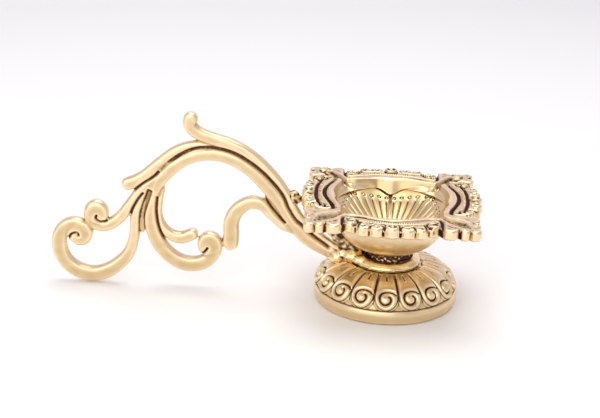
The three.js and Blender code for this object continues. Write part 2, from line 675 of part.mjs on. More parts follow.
function washer() {
  const bore = STUD_RADIUS + CLEAR;
  const top = WASHER_BASE + WASHER_THICK;
  const rim = [[WASHER_RADIUS, WASHER_BASE], [WASHER_RADIUS, top]];
  return turned([[bore, WASHER_BASE], ...rim, [bore, top], [bore, WASHER_BASE]], 32);
}

function hexNut() {
  const corner = NUT_ACROSS / 2 / Math.cos(Math.PI / 6);
  const corners = Array.from({ length: 6 }, (_, i) => (i * Math.PI) / 3);
  const outline = corners.map((a) => new THREE.Vector2(corner * Math.cos(a), corner * Math.sin(a)));
  const shape = new THREE.Shape(outline);
  shape.holes.push(new THREE.Path().absarc(0, 0, STUD_RADIUS + SEAT, 0, 2 * Math.PI));
  const g = new THREE.ExtrudeGeometry(shape, { depth: NUT_HEIGHT, bevelEnabled: false, curveSegments: 12 });
  const [narrow, wide] = [corner - 1.6, corner + 0.4];
  const lower = [[0, -1], [narrow, -1], [wide, 1]];
  const upper = [[wide, NUT_HEIGHT - 1], [narrow, NUT_HEIGHT + 1], [0, NUT_HEIGHT + 1]];
  return geometryOf(solid(g).intersect(solid(turned([...lower, ...upper], 32))).translate([0, 0, NUT_BASE]));
}

// The small lug brazed between the handle's upper strand and the rosette of the rim
function brazeLug(handleBody, bowlBody) {
  const strandSide = -ROSETTE_REACH - STRAND_GAP;
  const rows = [
    [strandSide - 1.7, PLATE_MIDDLE, RIM_THICK, LUG_WIDTH * 0.55],
    [strandSide - 0.5, PLATE_MIDDLE, RIM_THICK * 1.1, LUG_WIDTH * 0.68],
    [strandSide + STRAND_GAP * 0.6, PLATE_MIDDLE, RIM_THICK, LUG_WIDTH * 0.66],
    [-ROSETTE_REACH + RIM_BEVEL, PLATE_MIDDLE, RIM_THICK * 0.85, LUG_WIDTH * 0.6],
    [-RIM_HALF, PLATE_MIDDLE, RIM_THICK * 0.75, LUG_WIDTH * 0.55],
  ];
  const trimmed = bar(rows, 0).subtract(handleBody.translate([SEAT, 0, 0]));
  return geometryOf(trimmed.subtract(bowlBody.translate([-SEAT, 0, 0])));
}

const brass = (color, roughness) => new THREE.MeshStandardMaterial({ color, roughness, metalness: 1 });
const lamp = new THREE.Group();
function place(name, geometry, material) {
  const mesh = new THREE.Mesh(geometry, material);
  mesh.name = name;
  lamp.add(mesh);
}

const handleBody = handle();
const bowlBody = bowl();
place("foot", foot(), brass(0xc9a45c, 0.36));
place("neck_ring", neckRing(), brass(0xd2ac58, 0.26));
place("handle", geometryOf(handleBody), brass(0xdcc08a, 0.38));
place("bowl", geometryOf(bowlBody), brass(0xcfae6c, 0.32));
place("clamp_stud", stud(), brass(0xb9974f, 0.4));
place("washer", washer(), brass(0xb9974f, 0.4));
place("hex_nut", hexNut(), brass(0xb9974f, 0.4));
place("braze_lug", brazeLug(handleBody, bowlBody), brass(0xb08a50, 0.5));

// The part's origin: the middle of its box in plan, at the table
const box = new THREE.Box3().setFromObject(lamp);
lamp.position.set(-(box.min.x + box.max.x) / 2, -(box.min.y + box.max.y) / 2, -box.min.z);

export default lamp;
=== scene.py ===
"""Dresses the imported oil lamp: finer castings over the CAD nodes, antiqued brass, a studio and a camera."""

import bpy
import math
from types import SimpleNamespace

import numpy as np
from mathutils import Matrix, Vector


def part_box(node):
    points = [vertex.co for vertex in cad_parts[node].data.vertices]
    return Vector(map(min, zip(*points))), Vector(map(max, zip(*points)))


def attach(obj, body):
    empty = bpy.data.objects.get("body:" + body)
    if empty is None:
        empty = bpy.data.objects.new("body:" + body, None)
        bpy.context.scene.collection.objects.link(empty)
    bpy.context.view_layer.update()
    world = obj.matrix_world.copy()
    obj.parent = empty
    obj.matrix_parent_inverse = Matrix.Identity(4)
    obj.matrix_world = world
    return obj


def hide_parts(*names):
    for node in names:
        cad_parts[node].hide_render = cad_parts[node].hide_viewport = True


bl_info = {
    "name": "Handled oil lamp",
    "version": (1, 0, 0),
    "blender": (4, 5, 0),
    "location": "3D View > Sidebar > Lamp",
    "description": "Builds a cast brass hand lamp piece by piece",
    "category": "Object",
}

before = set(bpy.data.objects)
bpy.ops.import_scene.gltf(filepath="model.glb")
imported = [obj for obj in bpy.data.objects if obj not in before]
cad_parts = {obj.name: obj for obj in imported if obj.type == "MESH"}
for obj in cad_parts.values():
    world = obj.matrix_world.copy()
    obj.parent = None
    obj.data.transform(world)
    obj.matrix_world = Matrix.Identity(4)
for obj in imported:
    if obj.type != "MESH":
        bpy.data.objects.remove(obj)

MM = 0.001
AXIS = (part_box("foot")[0].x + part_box("foot")[1].x) / 2 / MM  # the foot's axis along X, in mm


# Sizes and colours
def linear(text):
    """An sRGB hex colour as linear RGBA."""
    channels = [int(text[i : i + 2], 16) / 255 for i in (1, 3, 5)]
    return [c / 12.92 if c <= 0.04045 else ((c + 0.055) / 1.055) ** 2.4 for c in channels] + [1.0]


def length(name, words, size):
    """A length that a user may change: given in mm, kept in metres."""
    return bpy.props.FloatProperty(
        name=name, description=words, default=size * MM, min=0, precision=5, subtype="DISTANCE", unit="LENGTH"
    )


def tint(name, words, text):
    """A colour that a user may change, given as sRGB hex."""
    return bpy.props.FloatVectorProperty(
        name=name, description=words, default=linear(text), size=4, min=0, max=1, subtype="COLOR"
    )


class LampSizes(bpy.types.PropertyGroup):
    petals: bpy.props.IntProperty(name="Petals", description="Petals round the foot", default=17, min=3)
    curl: length("Curl", "Radius of a petal's round end", 4.6)
    groove: length("Groove", "Width of the grooves on the foot", 0.85)
    relief: length("Relief", "Height of the petals on the foot", 0.85)
    ribs: bpy.props.IntProperty(name="Ribs", description="Ribs round the inside of the bowl", default=40, min=4)
    rib_relief: length("Rib relief", "Depth between the ribs", 0.8)
    crest: length("Crest", "Height of the rim's ridges above the table", 44.9)
    thick: length("Thickness", "Thickness of the handle", 5.2)
    grain: length("Grain", "Cell size for fusing the handle's strands", 0.34)
    pitch: length("Pitch", "Pitch of the stud's thread", 1.0)


class LampColours(bpy.types.PropertyGroup):
    brass: tint("Brass", "Rubbed, satin brass", "#dbc194")
    # the handle's darker tint is painted shade that evens out the strong front light on it
    handle: tint("Handle", "Satin brass, duller than the rest", "#cbb188")
    gold: tint("Gold", "Yellower brass inside the bowl", "#e6cb92")
    # the ring's colour is polished brass, painted lighter as a painted reflection
    ring: tint("Ring", "Bright polished ring", "#f4dfac")
    # the crest colour is partly brass rubbed bright and partly a painted highlight on convex edges
    crest: tint("Crest", "Brass rubbed bright on the crests", "#f6dfb8")
    # the patina colour is also the painted shade under the bowl, under the collar's lip and along the spouts
    patina: tint("Patina", "Dark patina left in the grooves", "#5e3a3a")
    fastener: tint("Fastener", "Dull brass of stud, washer and nut", "#b0904e")
    tarnish: tint("Tarnish", "Brown clouds on the fasteners", "#7a5a30")


def sizes():
    """The sizes as the user has them, with the lengths in mm."""
    group = bpy.context.scene.lamp_sizes
    values = {}
    for key in group.__annotations__:
        in_metres = getattr(group.bl_rna.properties[key], "unit", "NONE") == "LENGTH"
        values[key] = getattr(group, key) / MM if in_metres else getattr(group, key)
    return SimpleNamespace(**values)


def colours():
    return bpy.context.scene.lamp_colours


# Small tools
def only(obj):
    """Makes one object the selected and active one."""
    bpy.ops.object.select_all(action="DESELECT")
    obj.select_set(True)
    bpy.context.view_layer.objects.active = obj


def named(name):
    """Names the new active object and its data."""
    obj = bpy.context.active_object
    obj.name = name
    obj.data.name = name
    return obj


def raw_points(obj):
    flat = np.empty(len(obj.data.vertices) * 3)
    obj.data.vertices.foreach_get("co", flat)
    return flat.reshape(-1, 3)


def points_of(obj):
    """An object's points in mm from the foot's axis."""
    return raw_points(obj) / MM - (AXIS, 0, 0)


def put_points(obj, xyz):
    obj.data.vertices.foreach_set("co", ((xyz + (AXIS, 0, 0)) * MM).ravel())
    obj.data.update()


def edit(obj, *steps):
    """Runs edit-mode steps on all of an object."""
    only(obj)
    bpy.ops.object.mode_set(mode="EDIT")
    bpy.ops.mesh.select_all(action="SELECT")
    for step in steps:
        step()
    bpy.ops.object.mode_set(mode="OBJECT")


def weld(obj):
    """Merges doubled points and turns the faces outwards."""
    edit(
        obj,
        lambda: bpy.ops.mesh.remove_doubles(threshold=4e-6),
        lambda: bpy.ops.mesh.normals_make_consistent(inside=False),
    )


def round_off(obj):
    only(obj)
    bpy.ops.object.shade_smooth()


def modify(obj, kind, **settings):
    """Adds a modifier, sets it and applies it."""
    only(obj)
    bpy.ops.object.modifier_add(type=kind)
    modifier = obj.modifiers[-1]
    for key, value in settings.items():
        setattr(modifier, key, value)
    bpy.ops.object.modifier_apply(modifier=modifier.name)


def sheet(name, across, along, shape):
    """A fine grid, bent by a function of two shares from 0 to 1 into points in mm."""
    bpy.ops.object.select_all(action="DESELECT")
    bpy.ops.mesh.primitive_grid_add(x_subdivisions=across, y_subdivisions=along, size=2)
    obj = named(name)
    flat = np.clip((raw_points(obj) + 1) / 2, 0, 1)
    put_points(obj, shape(flat[:, 0], flat[:, 1]))
    weld(obj)
    round_off(obj)
    return obj


def strand(points, y=0):
    """A round bar along [x, z, width] points in the handle's plane or beside it, with ball ends."""
    bpy.ops.object.select_all(action="DESELECT")
    bpy.ops.curve.primitive_bezier_curve_add(enter_editmode=False)
    obj = bpy.context.active_object
    curve = obj.data
    curve.splines.clear()
    spline = curve.splines.new("BEZIER")
    spline.bezier_points.add(len(points) - 1)
    for knot, (x, z, width) in zip(spline.bezier_points, points):
        knot.co = Vector((x + AXIS, y, z)) * MM
        knot.radius = width / 2
        knot.handle_left_type = knot.handle_right_type = "AUTO"
    curve.dimensions = "3D"
    curve.resolution_u = 10
    curve.bevel_depth = MM  # times the knots' radii
    curve.bevel_resolution = 6
    curve.use_fill_caps = True
    bpy.ops.object.convert(target="MESH")
    bar = [bpy.context.active_object]
    for x, z, width in (points[0], points[-1]):
        bar.append(ball(x, y, z, width / 2))
    return bar


def ball(x, y, z, radius, squash=(1, 1, 1)):
    """A ball in mm, pressed along the axes."""
    bpy.ops.object.select_all(action="DESELECT")
    bpy.ops.mesh.primitive_uv_sphere_add(segments=28, ring_count=16, radius=radius * MM)
    obj = bpy.context.active_object
    bpy.ops.transform.resize(value=squash)
    bpy.ops.transform.translate(value=Vector((x + AXIS, y, z)) * MM)
    bpy.ops.object.transform_apply(location=True, rotation=True, scale=True)
    return obj


def fuse(name, pieces, grain, rounds, shape=None):
    """Joins closed pieces into one skin, as if cast together, and softens it."""
    bpy.ops.object.select_all(action="DESELECT")
    for piece in pieces:
        piece.select_set(True)
    bpy.context.view_layer.objects.active = pieces[0]
    bpy.ops.object.join()
    obj = named(name)
    bpy.ops.object.transform_apply(location=True, rotation=True, scale=True)
    if shape:
        put_points(obj, shape(points_of(obj)))
    modify(obj, "REMESH", mode="VOXEL", voxel_size=grain * MM)
    modify(obj, "SMOOTH", factor=0.5, iterations=rounds)
    edit(obj, lambda: bpy.ops.mesh.normals_make_consistent(inside=False))
    round_off(obj)
    return obj


def smooth(share):
    """A share that leaves 0 and reaches 1 gently."""
    share = np.clip(share, 0, 1)
    return share * share * (3 - 2 * share)


def dome(distance, half):
    """A rounded crest: 1 in the middle, falling to 0 at half a width away."""
    return np.sqrt(np.clip(1 - (distance / half) ** 2, 0, 1))


def cord(inside, width):
    """A rounded shoulder: 0 at an edge, 1 from a width inside it."""
    return np.sqrt(np.clip(1 - (1 - np.clip(inside / width, 0, 1)) ** 2, 0, 1))


def uneven(xyz, size, seed):
    """A smooth field, mostly between -1 and 1, with bumps about this many mm wide."""
    chance = np.random.default_rng(seed)
    total = np.zeros(len(xyz))
    for _ in range(10):
        way = chance.normal(size=3)
        way *= 2 * math.pi / (size * chance.uniform(0.7, 1.6) * np.linalg.norm(way))
        total += np.sin(xyz @ way + chance.uniform(0, 2 * math.pi))
    return total / 10**0.5


def curve_through(points, steps):
    """A smooth run of points through the given ones."""
    rows = np.array([points[0], *points, points[-1]], dtype=float)
    run = []
    for i in range(1, len(rows) - 2):
        for k in range(steps):
            t = k / steps
            a, b, c, d = rows[i - 1 : i + 3]
            bend = (2 * a - 5 * b + 4 * c - d) * t**2 + (3 * b - a - 3 * c + d) * t**3
            run.append(0.5 * (2 * b + (c - a) * t + bend))
    return np.array([*run, rows[-2]])


def nearest(line, u, v):
    """Distance from points to a line of points, and how far along it, as a share."""
    best = np.full(len(u), 1e9)
    share = np.zeros(len(u))
    for i in range(len(line) - 1):
        (a, b), (c, d) = line[i][:2], line[i + 1][:2]
        t = np.clip(((u - a) * (c - a) + (v - b) * (d - b)) / ((c - a) ** 2 + (d - b) ** 2), 0, 1)
        away = np.hypot(u - a - t * (c - a), v - b - t * (d - b))
        closer = away < best
        best = np.where(closer, away, best)
        share = np.where(closer, (i + t) / (len(line) - 1), share)
    return best, share


def spread(corners):
    """Corners [radius, height, weight] as rows, and how far along each is; a high weight gets more of the grid."""
    rows = np.array(corners, dtype=float)
    steps = np.hypot(np.diff(rows[:, 0]), np.diff(rows[:, 1])) * rows[1:, 2]
    return rows, np.concatenate([[0], np.cumsum(steps)])


def swung(radius, turn, height):
    """Points at a radius, an angle and a height round the axis."""
    return np.stack([radius * np.cos(turn), radius * np.sin(turn), height], axis=1)


def part_way(row, start, end):
    """How far a row is from one row to another, from 0 to 1."""
    return np.clip((row - start) / (end - start), 0, 1)


def hollows(obj, fine, broad):
    """How hollow the surface is at each point: 0 on crests, 0.5 on flats, 1 in grooves.

    The surface is compared with itself after some rounds of softening, once for fine and once for broad
    forms, each given as (rounds, depth in mm that counts as fully hollow).
    """
    mesh = obj.data
    count = len(mesh.vertices)
    xyz = points_of(obj)
    normals = np.empty(count * 3)
    mesh.vertices.foreach_get("normal", normals)
    normals = normals.reshape(-1, 3)
    ends = np.empty(len(mesh.edges) * 2, dtype=np.int64)
    mesh.edges.foreach_get("vertices", ends)
    a, b = ends.reshape(-1, 2).T
    here = np.concatenate([a, b])
    there = np.concatenate([b, a])
    degree = np.maximum(np.bincount(here, minlength=count), 1)
    soft = xyz.copy()
    level = np.full(count, 0.5)
    for rounds, reach in (fine, broad):
        for _ in range(rounds):
            for k in range(3):
                mean = np.bincount(here, weights=soft[there, k], minlength=count) / degree
                soft[:, k] = 0.5 * (soft[:, k] + mean)
        level += 0.25 * np.clip(((soft - xyz) * normals).sum(axis=1) / reach, -1, 1)
    return level


def deepen(level, share):
    """Stretches what lies over 0.5, the hollow part, so that it takes more or less patina."""
    return np.where(level > 0.5, 0.5 + share * (level - 0.5), level)


def note(obj, name, values):
    """Stores one number per point, for a material to read."""
    attribute = obj.data.attributes.new(name, "FLOAT", "POINT")
    attribute.data.foreach_set("value", np.clip(values, 0, 1).astype(np.float32))


# Materials
def add(tree, kind, settings=(), **links):
    """Adds a node, sets its values and inputs, and feeds inputs from other nodes."""
    node = tree.nodes.new(kind)
    for key, value in dict(settings).items():
        if isinstance(key, int):
            node.inputs[key].default_value = value
        else:
            setattr(node, key, value)
    for key, socket in links.items():
        tree.links.new(socket, node.inputs[int(key[1:])])
    return node


def blank(name):
    """A new metal material, its node tree and its shader node."""
    material = bpy.data.materials.new(name)
    material.use_nodes = True
    shader = material.node_tree.nodes["Principled BSDF"]
    shader.inputs["Metallic"].default_value = 1
    return material, material.node_tree, shader


def per(size):
    """The scale of a noise whose spots are this many mm wide."""
    return 1 / (size * MM)


def antique_brass(name, colour, rough):
    """Cast brass that was stained dark all over and rubbed bright again where a cloth reaches. High cavity values mix
    in the patina colour, which on some pieces is painted shade as well; low ones mix in the crest colour, partly wear
    and partly a painted highlight.
    """
    material, tree, shader = blank(name)
    place = add(tree, "ShaderNodeTexCoord").outputs["Object"]
    hollow = add(tree, "ShaderNodeAttribute", {"attribute_name": "cavity"}).outputs["Fac"]
    # the patina's edge wanders by a millimetre or so
    cloud = add(tree, "ShaderNodeTexNoise", {2: per(1.11), 3: 3.0, 4: 0.6}, i0=place).outputs[0]
    wander = add(tree, "ShaderNodeMath", {"operation": "MULTIPLY_ADD", 1: 0.22, 2: -0.11}, i0=cloud).outputs[0]
    depth = add(tree, "ShaderNodeMath", {"operation": "ADD"}, i0=hollow, i1=wander).outputs[0]
    # patina, and painted shade where the pieces put it into the cavity attribute
    patina_and_shade = add(tree, "ShaderNodeMapRange", {"interpolation_type": "SMOOTHSTEP", 1: 0.58, 2: 0.92}, i0=depth).outputs[0]
    # painted highlight on convex crests, together with the brightness that rubbing gives them
    crest = add(tree, "ShaderNodeMapRange", {1: 0.5, 2: 0.3}, i0=hollow).outputs[0]
    # broad, faint unevenness of colour left by hand polishing
    blotch = add(tree, "ShaderNodeTexNoise", {2: per(9.1), 3: 2.0, 4: 0.5}, i0=place).outputs[0]
    share = add(tree, "ShaderNodeMath", {"operation": "MULTIPLY", 1: 0.5}, i0=blotch).outputs[0]
    warm = add(tree, "ShaderNodeMix", {"data_type": "RGBA", 6: colour, 7: colours().gold}, i0=share)
    bright = add(tree, "ShaderNodeMix", {"data_type": "RGBA", 7: colours().crest}, i0=crest, i6=warm.outputs[2])
    final = add(tree, "ShaderNodeMix", {"data_type": "RGBA", 7: colours().patina}, i0=patina_and_shade, i6=bright.outputs[2])
    tree.links.new(final.outputs[2], shader.inputs["Base Color"])
    # satin where rubbed, dull where the patina and the painted shade sit
    satin = add(tree, "ShaderNodeMapRange", {3: rough, 4: 0.68}, i0=patina_and_shade).outputs[0]
    tree.links.new(satin, shader.inputs["Roughness"])
    # the skin of a sand casting, 0.1 mm deep, its grains drawn coarser than real ones so that they show
    peel = add(tree, "ShaderNodeTexNoise", {2: per(0.714), 3: 2.0, 4: 0.5}, i0=place).outputs[0]
    bump = add(tree, "ShaderNodeBump", {0: 0.12, 1: 0.1 * MM}, i2=peel)
    tree.links.new(bump.outputs[0], shader.inputs["Normal"])
    return material


def turned_brass(name, colour, rough):
    """Brass turned on a lathe and left to dull, with brown clouds of tarnish a few mm wide."""
    material, tree, shader = blank(name)
    place = add(tree, "ShaderNodeTexCoord").outputs["Object"]
    cloud = add(tree, "ShaderNodeTexNoise", {2: per(3.33), 3: 3.0, 4: 0.6}, i0=place).outputs[0]
    tone = add(tree, "ShaderNodeMix", {"data_type": "RGBA", 6: colour, 7: colours().tarnish}, i0=cloud)
    tree.links.new(tone.outputs[2], shader.inputs["Base Color"])
    shader.inputs["Roughness"].default_value = rough
    return material


def dress(obj, material):
    """Gives a piece one material."""
    obj.data.materials.clear()
    obj.data.materials.append(material)


# Foot, all in mm
DOME = np.array([(29.8, 5.8), (29.0, 12.0), (23.0, 15.6), (14.4, 16.2)])  # radius and height of the dome's controls
BAND = ((29.3, 0.15), (29.8, 1.0), (30.2, 2.4), (30.3, 3.9), (30.1, 5.1))
HOLLOW = (
    (3.3, 13.0, 1), (7.2, 13.0, 0.25), (7.8, 13.2, 0.4), (19.6, 12.0, 0.2), (25.9, 7.2, 0.3),
    (27.2, 0.4, 0.3), (27.6, 0, 1), (29.0, 0, 0.6),
)
CURL_CENTRE = 5.2  # along the dome from its lower edge
PETAL_LINES = 38  # grid lines across each petal
SPIRAL = ((20, 4.5), (60, 3.5), (90, 3.1), (180, 2.7), (270, 2.3), (360, 1.9), (400, 1.6))  # degrees, radius


def dome_line():
    """The dome's outline as [radius, height, weight, distance along it]."""
    t = np.linspace(0, 1, 90)
    weights = ((1 - t) ** 3, 3 * t * (1 - t) ** 2, 3 * t**2 * (1 - t), t**3)
    run = sum(w[:, None] * p for w, p in zip(weights, DOME))
    along = np.concatenate([[0], np.cumsum(np.hypot(*np.diff(run, axis=0).T))])
    return [(r, z, 1.35, s) for (r, z), s in zip(run, along)]


def foot_relief(across, up, radius):
    """Height of the carving at a place on one petal; up is measured from its curl's centre."""
    size = sizes()
    half = math.pi * radius / size.petals - size.groove / 2
    out = np.hypot(across, up)
    edge = np.where(up < 0, size.curl - out, half - np.abs(across))
    # the curl: a groove that winds in from the petal's edge, with a short hook at its heart
    turn = np.degrees(np.arctan2(up, across)) % 360
    angles, radii = zip(*SPIRAL)
    groove = np.hypot(across - 1.6 * math.cos(0.7), up - 1.6 * math.sin(0.7))
    for lap in (turn, turn + 360):
        on = (lap >= angles[0]) & (lap <= angles[-1])
        groove = np.where(on, np.minimum(groove, np.abs(out - np.interp(lap, angles, radii))), groove)
    inside = np.minimum(edge, groove - size.groove * 0.42)
    # the petal swells from sunk ground, with a bead in its curl, a dart above and a bud between
    height = -0.3 + (size.relief + 0.3) * cord(inside, 1.05)
    height -= 0.35 * smooth((-edge - 0.4) / 0.8)
    height += 0.2 * dome(out, 1.0)
    dart = np.hypot(across, np.maximum(np.maximum(8.4 - up, up - 11.8), 0))
    height -= 0.5 * dome(dart, 0.38)
    height += 0.35 * dome(np.hypot(across, (up - 7.8) * 0.8), 0.55)
    return height


def foot_shape(around, along):
    """The hollow foot's section, swept round, with the carving raised along its normal."""
    # the last number is the distance along the dome, below 0 before it and over 30 past it
    corners = [(*knot, -1) for knot in HOLLOW]
    corners += [(*knot, 1.1, -1) for knot in curve_through(BAND, 6)]
    corners += [(29.95, 5.5, 1.4, -0.3), *dome_line(), (3.3, 16.2, 0.2, 30), (3.3, 13.0, 0.4, 31)]
    rows, run = spread(corners)
    at = along * run[-1]
    r, z, s = (np.interp(at, run, rows[:, k]) for k in (0, 1, 3))
    step = run[-1] / 4000
    dr = np.interp(at + step, run, rows[:, 0]) - np.interp(at - step, run, rows[:, 0])
    dz = np.interp(at + step, run, rows[:, 1]) - np.interp(at - step, run, rows[:, 1])
    long = np.maximum(np.hypot(dr, dz), 1e-9)
    turn = around * 2 * math.pi
    pitch = 2 * math.pi / sizes().petals
    offset = (turn - 0.005 + pitch / 2) % pitch - pitch / 2
    height = foot_relief(r * offset, s - CURL_CENTRE, np.maximum(r, 8))
    height *= smooth((s + 0.25) / 0.5) * smooth((19.9 - s) / 1.2)
    height = np.where(s > 30, 0.0, height)
    r, z = r + height * dz / long, z - height * dr / long
    return np.stack([r * np.sin(turn), -r * np.cos(turn), z], axis=1)


# Handle: [x, z, width] in mm, x from the foot's axis
STEM = (
    (-24.6, 19.8, 5.8), (-28.3, 21.4, 5.9), (-32.7, 23.9, 5.9), (-36.2, 26.6, 5.9), (-38.8, 29.9, 6.1),
    (-44.6, 38.7, 6.1), (-51.2, 46.7, 6.1), (-59.7, 54.5, 5.8), (-68.2, 58.8, 5.6), (-76.5, 59.7, 5.4),
    (-84.8, 57.4, 5.4), (-92.7, 51.5, 5.7), (-98.5, 43.1, 5.5), (-100.2, 33.1, 5.7), (-98.2, 22.8, 6.6),
    (-95.4, 17.6, 6.6), (-91.5, 13.5, 6.6), (-86.8, 10.9, 6.6), (-82.0, 10.3, 6.6), (-77.4, 11.6, 6.4),
    (-74.0, 14.5, 6.0), (-72.6, 18.4, 6.0), (-73.5, 21.9, 5.5), (-75.9, 22.9, 5.1), (-77.5, 21.2, 4.7),
)
FINIAL = (
    (-20.5, 20.8, 3.4), (-25.0, 23.6, 3.4), (-29.9, 27.0, 3.4), (-33.3, 29.7, 3.4), (-36.4, 32.8, 3.6),
    (-39.1, 36.5, 3.8), (-43.6, 44.6, 4.0), (-50.5, 53.3, 4.2), (-59.1, 60.6, 4.6), (-67.5, 64.6, 5.0),
    (-75.8, 66.9, 5.2), (-79.8, 68.3, 5.4), (-82.7, 70.1, 5.6), (-84.2, 72.4, 5.8), (-83.9, 74.7, 6.1),
)
HOOK = (
    (-73.7, 63.2, 2.1), (-81.6, 63.8, 3.3), (-89.0, 61.2, 4.0), (-96.5, 55.2, 4.3), (-103.6, 48.6, 4.7),
    (-107.2, 46.1, 5.4), (-109.8, 45.0, 5.6),
)
SMALL_CURL = (
    (-98.7, 47.9, 3.7), (-102.7, 44.8, 4.2), (-108.6, 36.3, 4.7), (-114.1, 28.9, 5.1), (-118.0, 26.3, 5.2),
    (-121.8, 25.6, 5.1), (-124.8, 27.1, 4.9), (-126.3, 30.1, 4.7), (-125.8, 33.3, 4.5), (-123.5, 35.1, 4.2),
    (-121.1, 34.3, 4.0), (-120.4, 32.1, 3.8), (-121.0, 30.0, 3.4),
)
BIG_LOOP = (
    (-100.5, 45.1, 3.8), (-103.4, 41.0, 3.8), (-106.5, 31.5, 4.2), (-107.1, 22.4, 4.7), (-108.0, 17.8, 4.9),
    (-109.9, 13.1, 5.6), (-113.3, 9.1, 6.0), (-118.1, 5.5, 6.4), (-123.2, 3.7, 6.5), (-128.4, 3.9, 6.5),
    (-133.6, 6.2, 6.6), (-137.4, 10.4, 6.7), (-139.1, 15.9, 6.7), (-138.6, 21.0, 6.4), (-136.1, 24.4, 6.2),
    (-132.5, 25.9, 6.0), (-129.3, 25.0, 5.8), (-127.8, 22.1, 5.8), (-128.5, 19.3, 5.4), (-130.6, 18.5, 4.7),
)
TENDRIL = (
    (-95.2, 43.6, 2.2), (-96.2, 37.5, 2.4), (-96.3, 30.5, 3.0), (-92.6, 23.9, 4.6), (-86.8, 22.1, 5.3),
    (-82.6, 23.9, 5.3),
)
S_CURL = (
    (-66.2, 21.1, 6.9), (-66.0, 26.0, 6.9), (-66.0, 30.7, 6.7), (-62.0, 37.3, 6.1), (-55.3, 39.5, 5.5),
    (-49.5, 35.1, 4.9), (-44.4, 30.2, 4.2), (-41.0, 28.4, 3.6),
)
WEBS = (  # thin metal that fills the chinks between strands
    ((-103.9, 24.5, 2.4), (-103.6, 31.5, 2.4), (-102.0, 38.0, 2.2), (-100.5, 43.5, 2.0)),
    ((-88.0, 58.8, 2.0), (-92.8, 54.6, 2.6), (-96.0, 50.6, 2.6), (-99.0, 46.6, 2.4)),
    ((-95.5, 54.0, 2.4), (-98.2, 51.0, 3.0), (-101.0, 47.6, 2.4)),
    (
        (-91.0, 57.6, 2.4), (-87.4, 59.9, 2.6), (-82.0, 61.6, 2.6),
        (-76.5, 62.9, 2.4), (-71.0, 62.8, 2.6), (-66.0, 61.2, 2.2),
    ),
    ((-51.5, 42.2, 2.0), (-48.6, 38.6, 2.4), (-46.0, 35.4, 2.0)),
)
# Balls that close the scrolls' eyes: x, z and radius
EYES = ((-74.9, 19.9, 5.4), (-123.0, 31.4, 5.1), (-130.2, 22.2, 5.6))
# Grooves between strands that lie together, and the slits that close the scrolls: [x, z], then width, depth
GROOVES = (
    (
        (
            (-93.7, 54.9), (-87.4, 59.7), (-81.0, 62.6), (-73.6, 63.0), (-66.2, 61.5), (-60.3, 58.4),
            (-54.4, 54.3), (-49.5, 49.6), (-45.0, 44.1), (-42.1, 38.1), (-38.8, 33.1), (-36.3, 31.0),
            (-31.3, 26.4), (-26.5, 23.0), (-23.2, 20.8),
        ),
        0.75, 1.0,
    ),
    (((-103.9, 23.5), (-103.7, 31.5), (-102.0, 38.0), (-100.3, 43.5)), 1.3, 1.5),  # the web's sunk face
    (((-107.2, 42.4), (-103.7, 45.7), (-99.5, 48.6), (-96.5, 51.8)), 0.6, 1.0),
    (((-108.6, 31.8), (-107.8, 34.4), (-105.6, 38.6), (-103.0, 42.0)), 0.6, 1.1),
    (((-97.3, 41.0), (-97.7, 35.0), (-97.1, 29.2), (-95.2, 23.6), (-91.7, 19.7), (-86.0, 17.5)), 0.6, 1.3),
    (((-53.0, 43.6), (-49.1, 37.9), (-45.8, 34.0), (-43.0, 31.3)), 0.55, 1.2),
    (((-83.9, 13.9), (-79.6, 15.2), (-77.0, 16.8), (-75.6, 18.9)), 0.5, 1.8),
    (((-118.2, 28.6), (-121.0, 27.9), (-123.2, 29.2), (-122.8, 31.0)), 0.5, 1.6),
    (((-134.9, 19.3), (-133.8, 21.6), (-131.3, 22.4), (-130.6, 20.6)), 0.5, 1.6),
)


def flatten(xyz):
    """Presses round bars to the handle's thickness, with soft flat faces."""
    half = sizes().thick / 2
    xyz = xyz.copy()
    xyz[:, 1] = half * np.tanh(1.6 * xyz[:, 1] / half)
    return xyz


def groove_faces(xyz):
    """Sinks the grooves into both faces of the handle."""
    xyz = xyz.copy()
    for line, width, depth in GROOVES:
        run = curve_through(line, 4)
        away, share = nearest(run, xyz[:, 0], xyz[:, 2])
        ends = smooth(np.minimum(share, 1 - share) / 0.06)
        sunk = depth * dome(away, width) * ends
        room = np.maximum(np.abs(xyz[:, 1]) - 0.5, 0)
        xyz[:, 1] -= np.sign(xyz[:, 1]) * np.minimum(sunk, room)
    return xyz


# Neck ring and lug, all in mm
RING = (  # radius, height, weight
    (0, 16.3, 1), (13.4, 16.3, 1), (14.1, 16.7, 2), (14.3, 17.4, 2), (14.1, 18.2, 2), (13.5, 19.0, 2),
    (12.6, 19.6, 2), (11.2, 20.0, 2), (10.3, 20.1, 2), (9.9, 19.2, 2), (0, 19.2, 1),
)


def ring_shape(around, along):
    """The ring's section, swept round."""
    rows, run = spread(RING)
    at = along * run[-1]
    return swung(np.interp(at, run, rows[:, 0]), around * 2 * math.pi, np.interp(at, run, rows[:, 1]))


BRAZE_RUN = (  # x, z and width of the metal that ran down the handle's lower strand
    (-27.2, 36.4, 3.4), (-25.8, 33.4, 4.4), (-23.8, 30.4, 5.0), (-21.2, 27.4, 5.4),
    (-18.2, 24.6, 5.8), (-15.2, 22.2, 6.0), (-12.4, 20.4, 5.6),
)
WELDS = (  # centre, radius, squash of the braze metal between ring, lug and bowl
    (-20.6, -1.0, 17.4, 3.7, (1.0, 1.05, 1.1)), (-17.4, -1.6, 19.4, 3.6, (1.2, 0.95, 0.95)),
    (-14.2, -3.2, 19.2, 3.9, (1.2, 0.95, 0.85)), (-10.8, -6.0, 18.6, 3.2, (1.2, 0.9, 0.75)),
)


